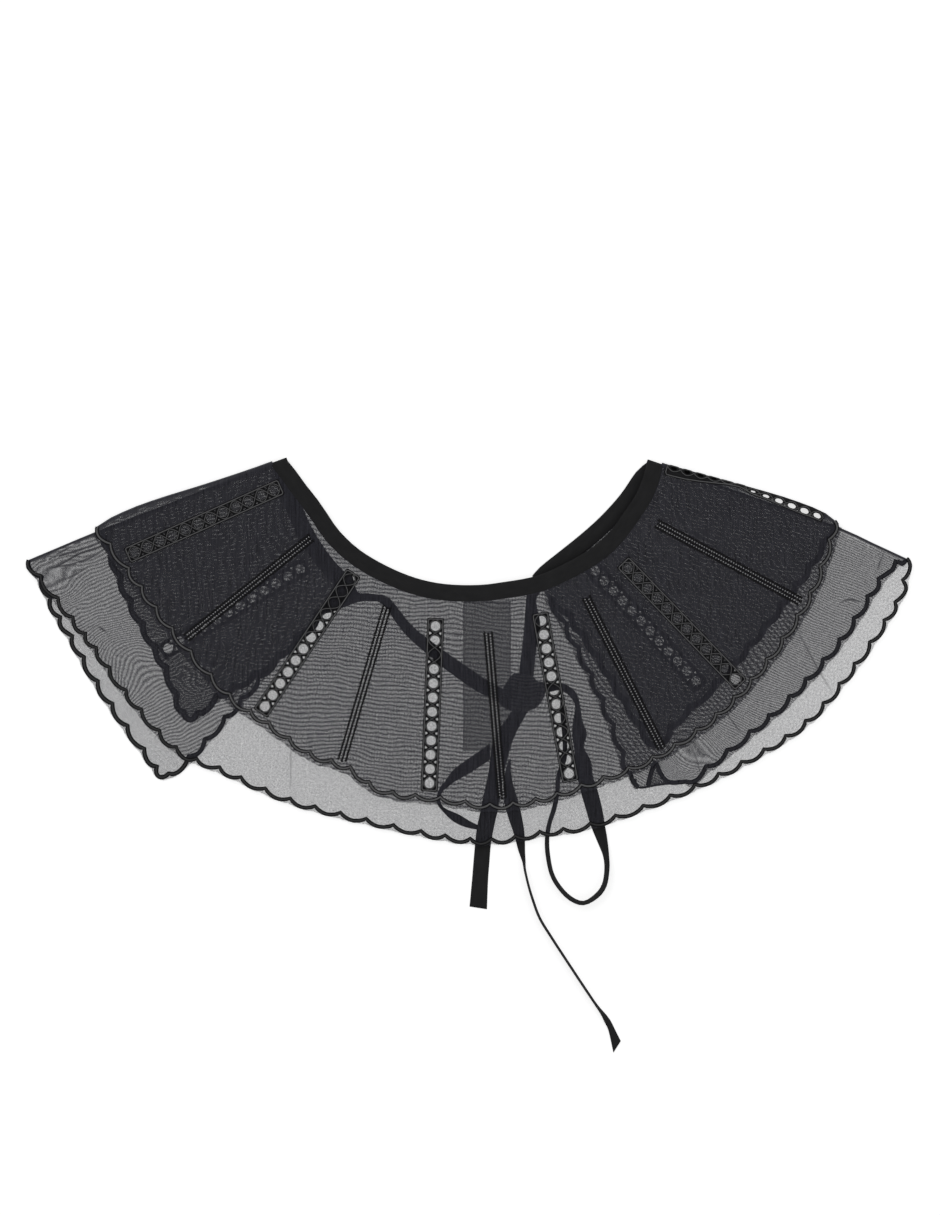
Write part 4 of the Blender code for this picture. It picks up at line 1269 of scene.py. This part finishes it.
def make_upper_tier(looks):
    """The upper tier with its openwork strips and double stitching."""
    piece, cords, flat, area = make_tier("upper", looks)
    front_z, wing_z = ply_heights(UPPER_BEND)
    trims = [cords]
    for name, strip in FRONT_STRIPS.items():
        trims += make_strip(name, strip, front_z, looks)
    for side in WING_STRIPS:
        for name, strip in WING_STRIPS[side].items():
            trims += make_strip(name, strip, wing_z - STRIP_LIFT, looks)
    trims += make_fold_strip(fold_axes(UPPER_FOLD, UPPER_BEND["reach"])["right"], looks)
    for name, ends in STITCH_LINES.items():
        trims += make_stitches(name, ends, front_z + STITCH_LIFT, looks)
    for trim in trims[1:]:
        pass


def make_lower_tier(looks):
    piece, cords, flat, area = make_tier("lower", looks)


def band_centres():
    """Neck points of the binding, the way across it, and its middle height, from end to end."""
    axes = fold_axes(UPPER_FOLD, BAND_INSET)
    half = BAND_BEND["half"]
    made = []
    for place, across in reversed(neck_sections(NECK_BACK["left"], axes["left"], -1)[1:]):
        made.append((place, across, FOLD_MIDDLE - half))
    for side in ("left", "right"):
        normal = outward_normals(axes[side][:2], side)[0]
        along = (axes[side][1] - axes[side][0]).normalized()
        bend = []
        for step in range(BEND_STEPS + 1):
            angle = math.pi * (1 - step / BEND_STEPS)
            out = normal * BAND_BEND["reach"] * math.sin(angle)
            bend.append((axes[side][0] + out, along, FOLD_MIDDLE + half * math.cos(angle)))
        if side == "left":
            made += bend
            made += [(p, a, FOLD_MIDDLE + half) for p, a in front_sections(axes)[1:-1]]
        else:
            made += reversed(bend)
    for place, across in neck_sections(NECK_BACK["right"], axes["right"], 1)[1:]:
        made.append((place, across, FOLD_MIDDLE - half))
    return made


def add_loft(mesh, rows, tops):
    """A closed skin over rows of section points. tops says how many of a row's points lie on top."""
    uv = mesh.loops.layers.uv.verify()
    made = [[mesh.verts.new(p) for p in row] for row in rows]
    run = 0.0
    count = len(rows[0])
    for i in range(len(rows) - 1):
        here, there = rows[i], rows[i + 1]
        step = (there[0] - here[0]).length * 0.5 + (there[tops - 1] - here[tops - 1]).length * 0.5
        for k in range(count):
            nxt = (k + 1) % count
            face = mesh.faces.new((made[i][k], made[i + 1][k], made[i + 1][nxt], made[i][nxt]))
            start = sum((here[j + 1] - here[j]).length for j in range(k))
            end = start + (here[nxt] - here[k]).length
            places = ((run, start), (run + step, start), (run + step, end), (run, end))
            for loop, (along, across) in zip(face.loops, places):
                loop[uv].uv = (along * MM, across * MM)
        run += step
    mesh.faces.new(made[0])
    mesh.faces.new(list(reversed(made[-1])))
    return run


def make_binding(looks):
    mesh = named_mesh()
    rows = []
    for place, across, z in band_centres():
        over = [Vector((*(place + across * off), z + thick)) for off, thick in BAND_PROFILE]
        under = [Vector((*(place + across * off), z - thick)) for off, thick in BAND_PROFILE[-2:0:-1]]
        rows.append(over + under)
    length = add_loft(mesh, rows, len(BAND_PROFILE))
    bmesh.ops.recalc_face_normals(mesh, faces=mesh.faces)
    piece = add_object("neck_binding_cloth", mesh, looks["cloth"])
    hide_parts("neck_binding")


def make_tie(name, rows, looks):
    """A stretch of the flat tie with thin edges, its length and the area that shows."""
    mesh = named_mesh()
    sections = []
    widths = []
    for x1, y1, x2, y2, rise, lift in smooth_line(rows, TIE_STEP):
        low = max(lift, 0.0) + TIE_LOW
        first = Vector((x1, y1, low + max(rise, 0.0)))
        second = Vector((x2, y2, low))
        along = left_of(Vector((x2 - x1, y2 - y1))).normalized()
        normal = (second - first).cross(Vector((along.x, along.y, 0.0))).normalized()
        if normal.z < 0:
            normal.negate()
        half = normal * TIE_WALL / 2
        widths.append((second - first).length)
        over = [first.lerp(second, share) + half * thick for share, thick in TIE_PROFILE]
        under = [first.lerp(second, share) - half * thick for share, thick in TIE_PROFILE[-2:0:-1]]
        sections.append(over + under)
    length = add_loft(mesh, sections, len(TIE_PROFILE))
    bmesh.ops.recalc_face_normals(mesh, faces=mesh.faces)
    piece = add_object(name + "_cloth", mesh, looks["cloth"])
    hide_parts(name)
    return piece, length, length * sum(widths) / len(widths)


def make_knot(looks):
    """The knot: a low lump with the folds of the tie across it."""
    mesh = named_mesh()
    uv = mesh.loops.layers.uv.verify()
    middle = Vector((sum(x for x, y in KNOT) / len(KNOT), sum(y for x, y in KNOT) / len(KNOT)))
    ring = smooth_line([*KNOT, KNOT[0]], KNOT_STEP)[:-1]
    rows = []
    for share, height in KNOT_ROWS:
        row = []
        for place in ring:
            flat = middle.lerp(place, share)
            wave = math.sin(KNOT_FOLD["rate"] * (flat.x - KNOT_FOLD["lean"] * flat.y))
            fold = KNOT_FOLD["height"] * wave * (height > KNOT_FOLD["above"])
            row.append(mesh.verts.new((flat.x, flat.y, height + fold)))
        rows.append(row)
    for lower, upper in zip(rows, rows[1:]):
        for k in range(len(ring)):
            nxt = (k + 1) % len(ring)
            mesh.faces.new((lower[k], lower[nxt], upper[nxt], upper[k]))
    mesh.faces.new(rows[-1])
    mesh.faces.new(list(reversed(rows[0])))
    for face in mesh.faces:
        for loop in face.loops:
            loop[uv].uv = (loop.vert.co.x * MM, loop.vert.co.y * MM)
    bmesh.ops.recalc_face_normals(mesh, faces=mesh.faces)
    # The knot's light grey is painted sheen on the tie's black cloth.
    piece = add_object("bow_knot_cloth", mesh, looks["knot"])
    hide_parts("bow_knot")


def make_label(looks):
    """The blank care label, a strip of thin tape sewn in at its top."""
    mesh = named_mesh()
    uv = mesh.loops.layers.uv.verify()
    width = LABEL["right"] - LABEL["left"]
    length = LABEL["top"] - LABEL["bottom"]
    wide, long = LABEL_GRID
    grid = {}
    for i in range(wide + 1):
        for j in range(long + 1):
            x = LABEL["left"] + width * i / wide
            y = LABEL["bottom"] + length * j / long
            wave = math.sin(j * LABEL_WAVE["along"]) * math.sin(i * LABEL_WAVE["across"])
            grid[i, j] = mesh.verts.new((x, y, LABEL["z"] + LABEL_WAVE["height"] * wave))
    for i in range(wide):
        for j in range(long):
            corners = ((i, j), (i + 1, j), (i + 1, j + 1), (i, j + 1))
            face = mesh.faces.new([grid[c] for c in corners])
            for loop, (a, b) in zip(face.loops, corners):
                loop[uv].uv = (length * MM * b / long, a / wide)
    piece = add_object("care_label_tape", mesh, looks["tape"])
    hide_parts("care_label")
    seam = named_mesh()
    half = LABEL_SEAM["half_length"]
    y = LABEL["top"] - LABEL_SEAM["inset"]
    for k in range(LABEL_SEAM["count"]):
        x = LABEL["left"] + width * (k + 0.5) / LABEL_SEAM["count"]
        path = [Vector((x + off, y)) for off in (-half, 0.0, half)]
        add_tube(seam, path, LABEL_SEAM["size"], LABEL["z"] + LABEL_SEAM["lift"], sides=THIN_SIDES)
    seam_piece = finish_lines("care_label_seam", seam, looks["stitch"])


def make_camera():
    data = bpy.data.cameras.new("camera")
    data.sensor_fit = "VERTICAL"
    data.sensor_height = SENSOR_HEIGHT
    data.lens = SENSOR_HEIGHT * CAMERA_HEIGHT / FIELD_HEIGHT
    camera = bpy.data.objects.new("camera", data)
    camera.location = Vector((*FIELD_MIDDLE, CAMERA_HEIGHT)) * MM
    bpy.context.scene.collection.objects.link(camera)
    bpy.context.scene.camera = camera


def make_lights():
    world = bpy.data.worlds.new("studio")
    world.use_nodes = True
    background = world.node_tree.nodes["Background"]
    background.inputs["Color"].default_value = WHITE
    background.inputs["Strength"].default_value = WORLD_STRENGTH
    bpy.context.scene.world = world
    for name, place, power in LAMPS:
        data = bpy.data.lights.new(name, "AREA")
        data.energy = power
        data.size = LAMP_SIZE
        lamp = bpy.data.objects.new(name, data)
        lamp.location = place
        lamp.rotation_euler = (-Vector(place)).to_track_quat("-Z", "Y").to_euler()
        bpy.context.scene.collection.objects.link(lamp)


def make_table():
    bpy.ops.mesh.primitive_plane_add(size=TABLE_SIZE)
    table = bpy.context.object
    table.name = "table"
    table.data.materials.append(floor_paint())


def main():
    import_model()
    bpy.context.scene.view_settings.view_transform = "Standard"
    make_camera()
    make_lights()
    make_table()
    looks = {
        "upper": organza("upper_organza", ORGANZA["upper"]),
        "lower": organza("lower_organza", ORGANZA["lower"]),
        # A thread's second grey is the painted highlight along its crest.
        "thread": thread("embroidery_thread", grey(0.006, 0.007), grey(0.23, 0.235)),
        "dark_thread": thread("plain_edge_thread", grey(0.006, 0.007), grey(0.08, 0.082)),
        "stitch": thread("sewing_thread", grey(0.005, 0.006), grey(0.03, 0.032)),
        # Light grey dots for the stitches' glints: painted highlights.
        "stitch_highlight": cloth("stitch_highlights", grey(0.60, 0.61), grey(0.85, 0.86), 0.5),
        "ground": cloth("embroidered_ground", grey(0.010, 0.011), grey(0.020, 0.021), 0.5),
        # The folded strip's ground is the flat strips' ground made lighter: painted light on the rounded
        # fold.
        "fold_ground_painted_light": cloth("folded_ground_painted_light", grey(0.018, 0.019), grey(0.034, 0.036), 0.5),
        # The knot is the tie's own black cloth, drawn in a far lighter grey: painted sheen on its bunched
        # folds.
        "knot": cloth("knot_cloth_painted_sheen", grey(0.340, 0.341), grey(0.380, 0.381), 0.6),
        "shade": cloth("eyelet_shade", grey(0.002, 0.002), grey(0.004, 0.004), 0.5),
        "cloth": cloth("binding_cloth", grey(0.027, 0.028), grey(0.037, 0.038), 0.6),
        "tape": tape("label_tape"),
    }
    make_lower_tier(looks)
    make_upper_tier(looks)
    make_binding(looks)
    make_knot(looks)
    make_label(looks)
    for name, rows in TIES.items():
        piece, length, shown = make_tie(name, rows, looks)


main()
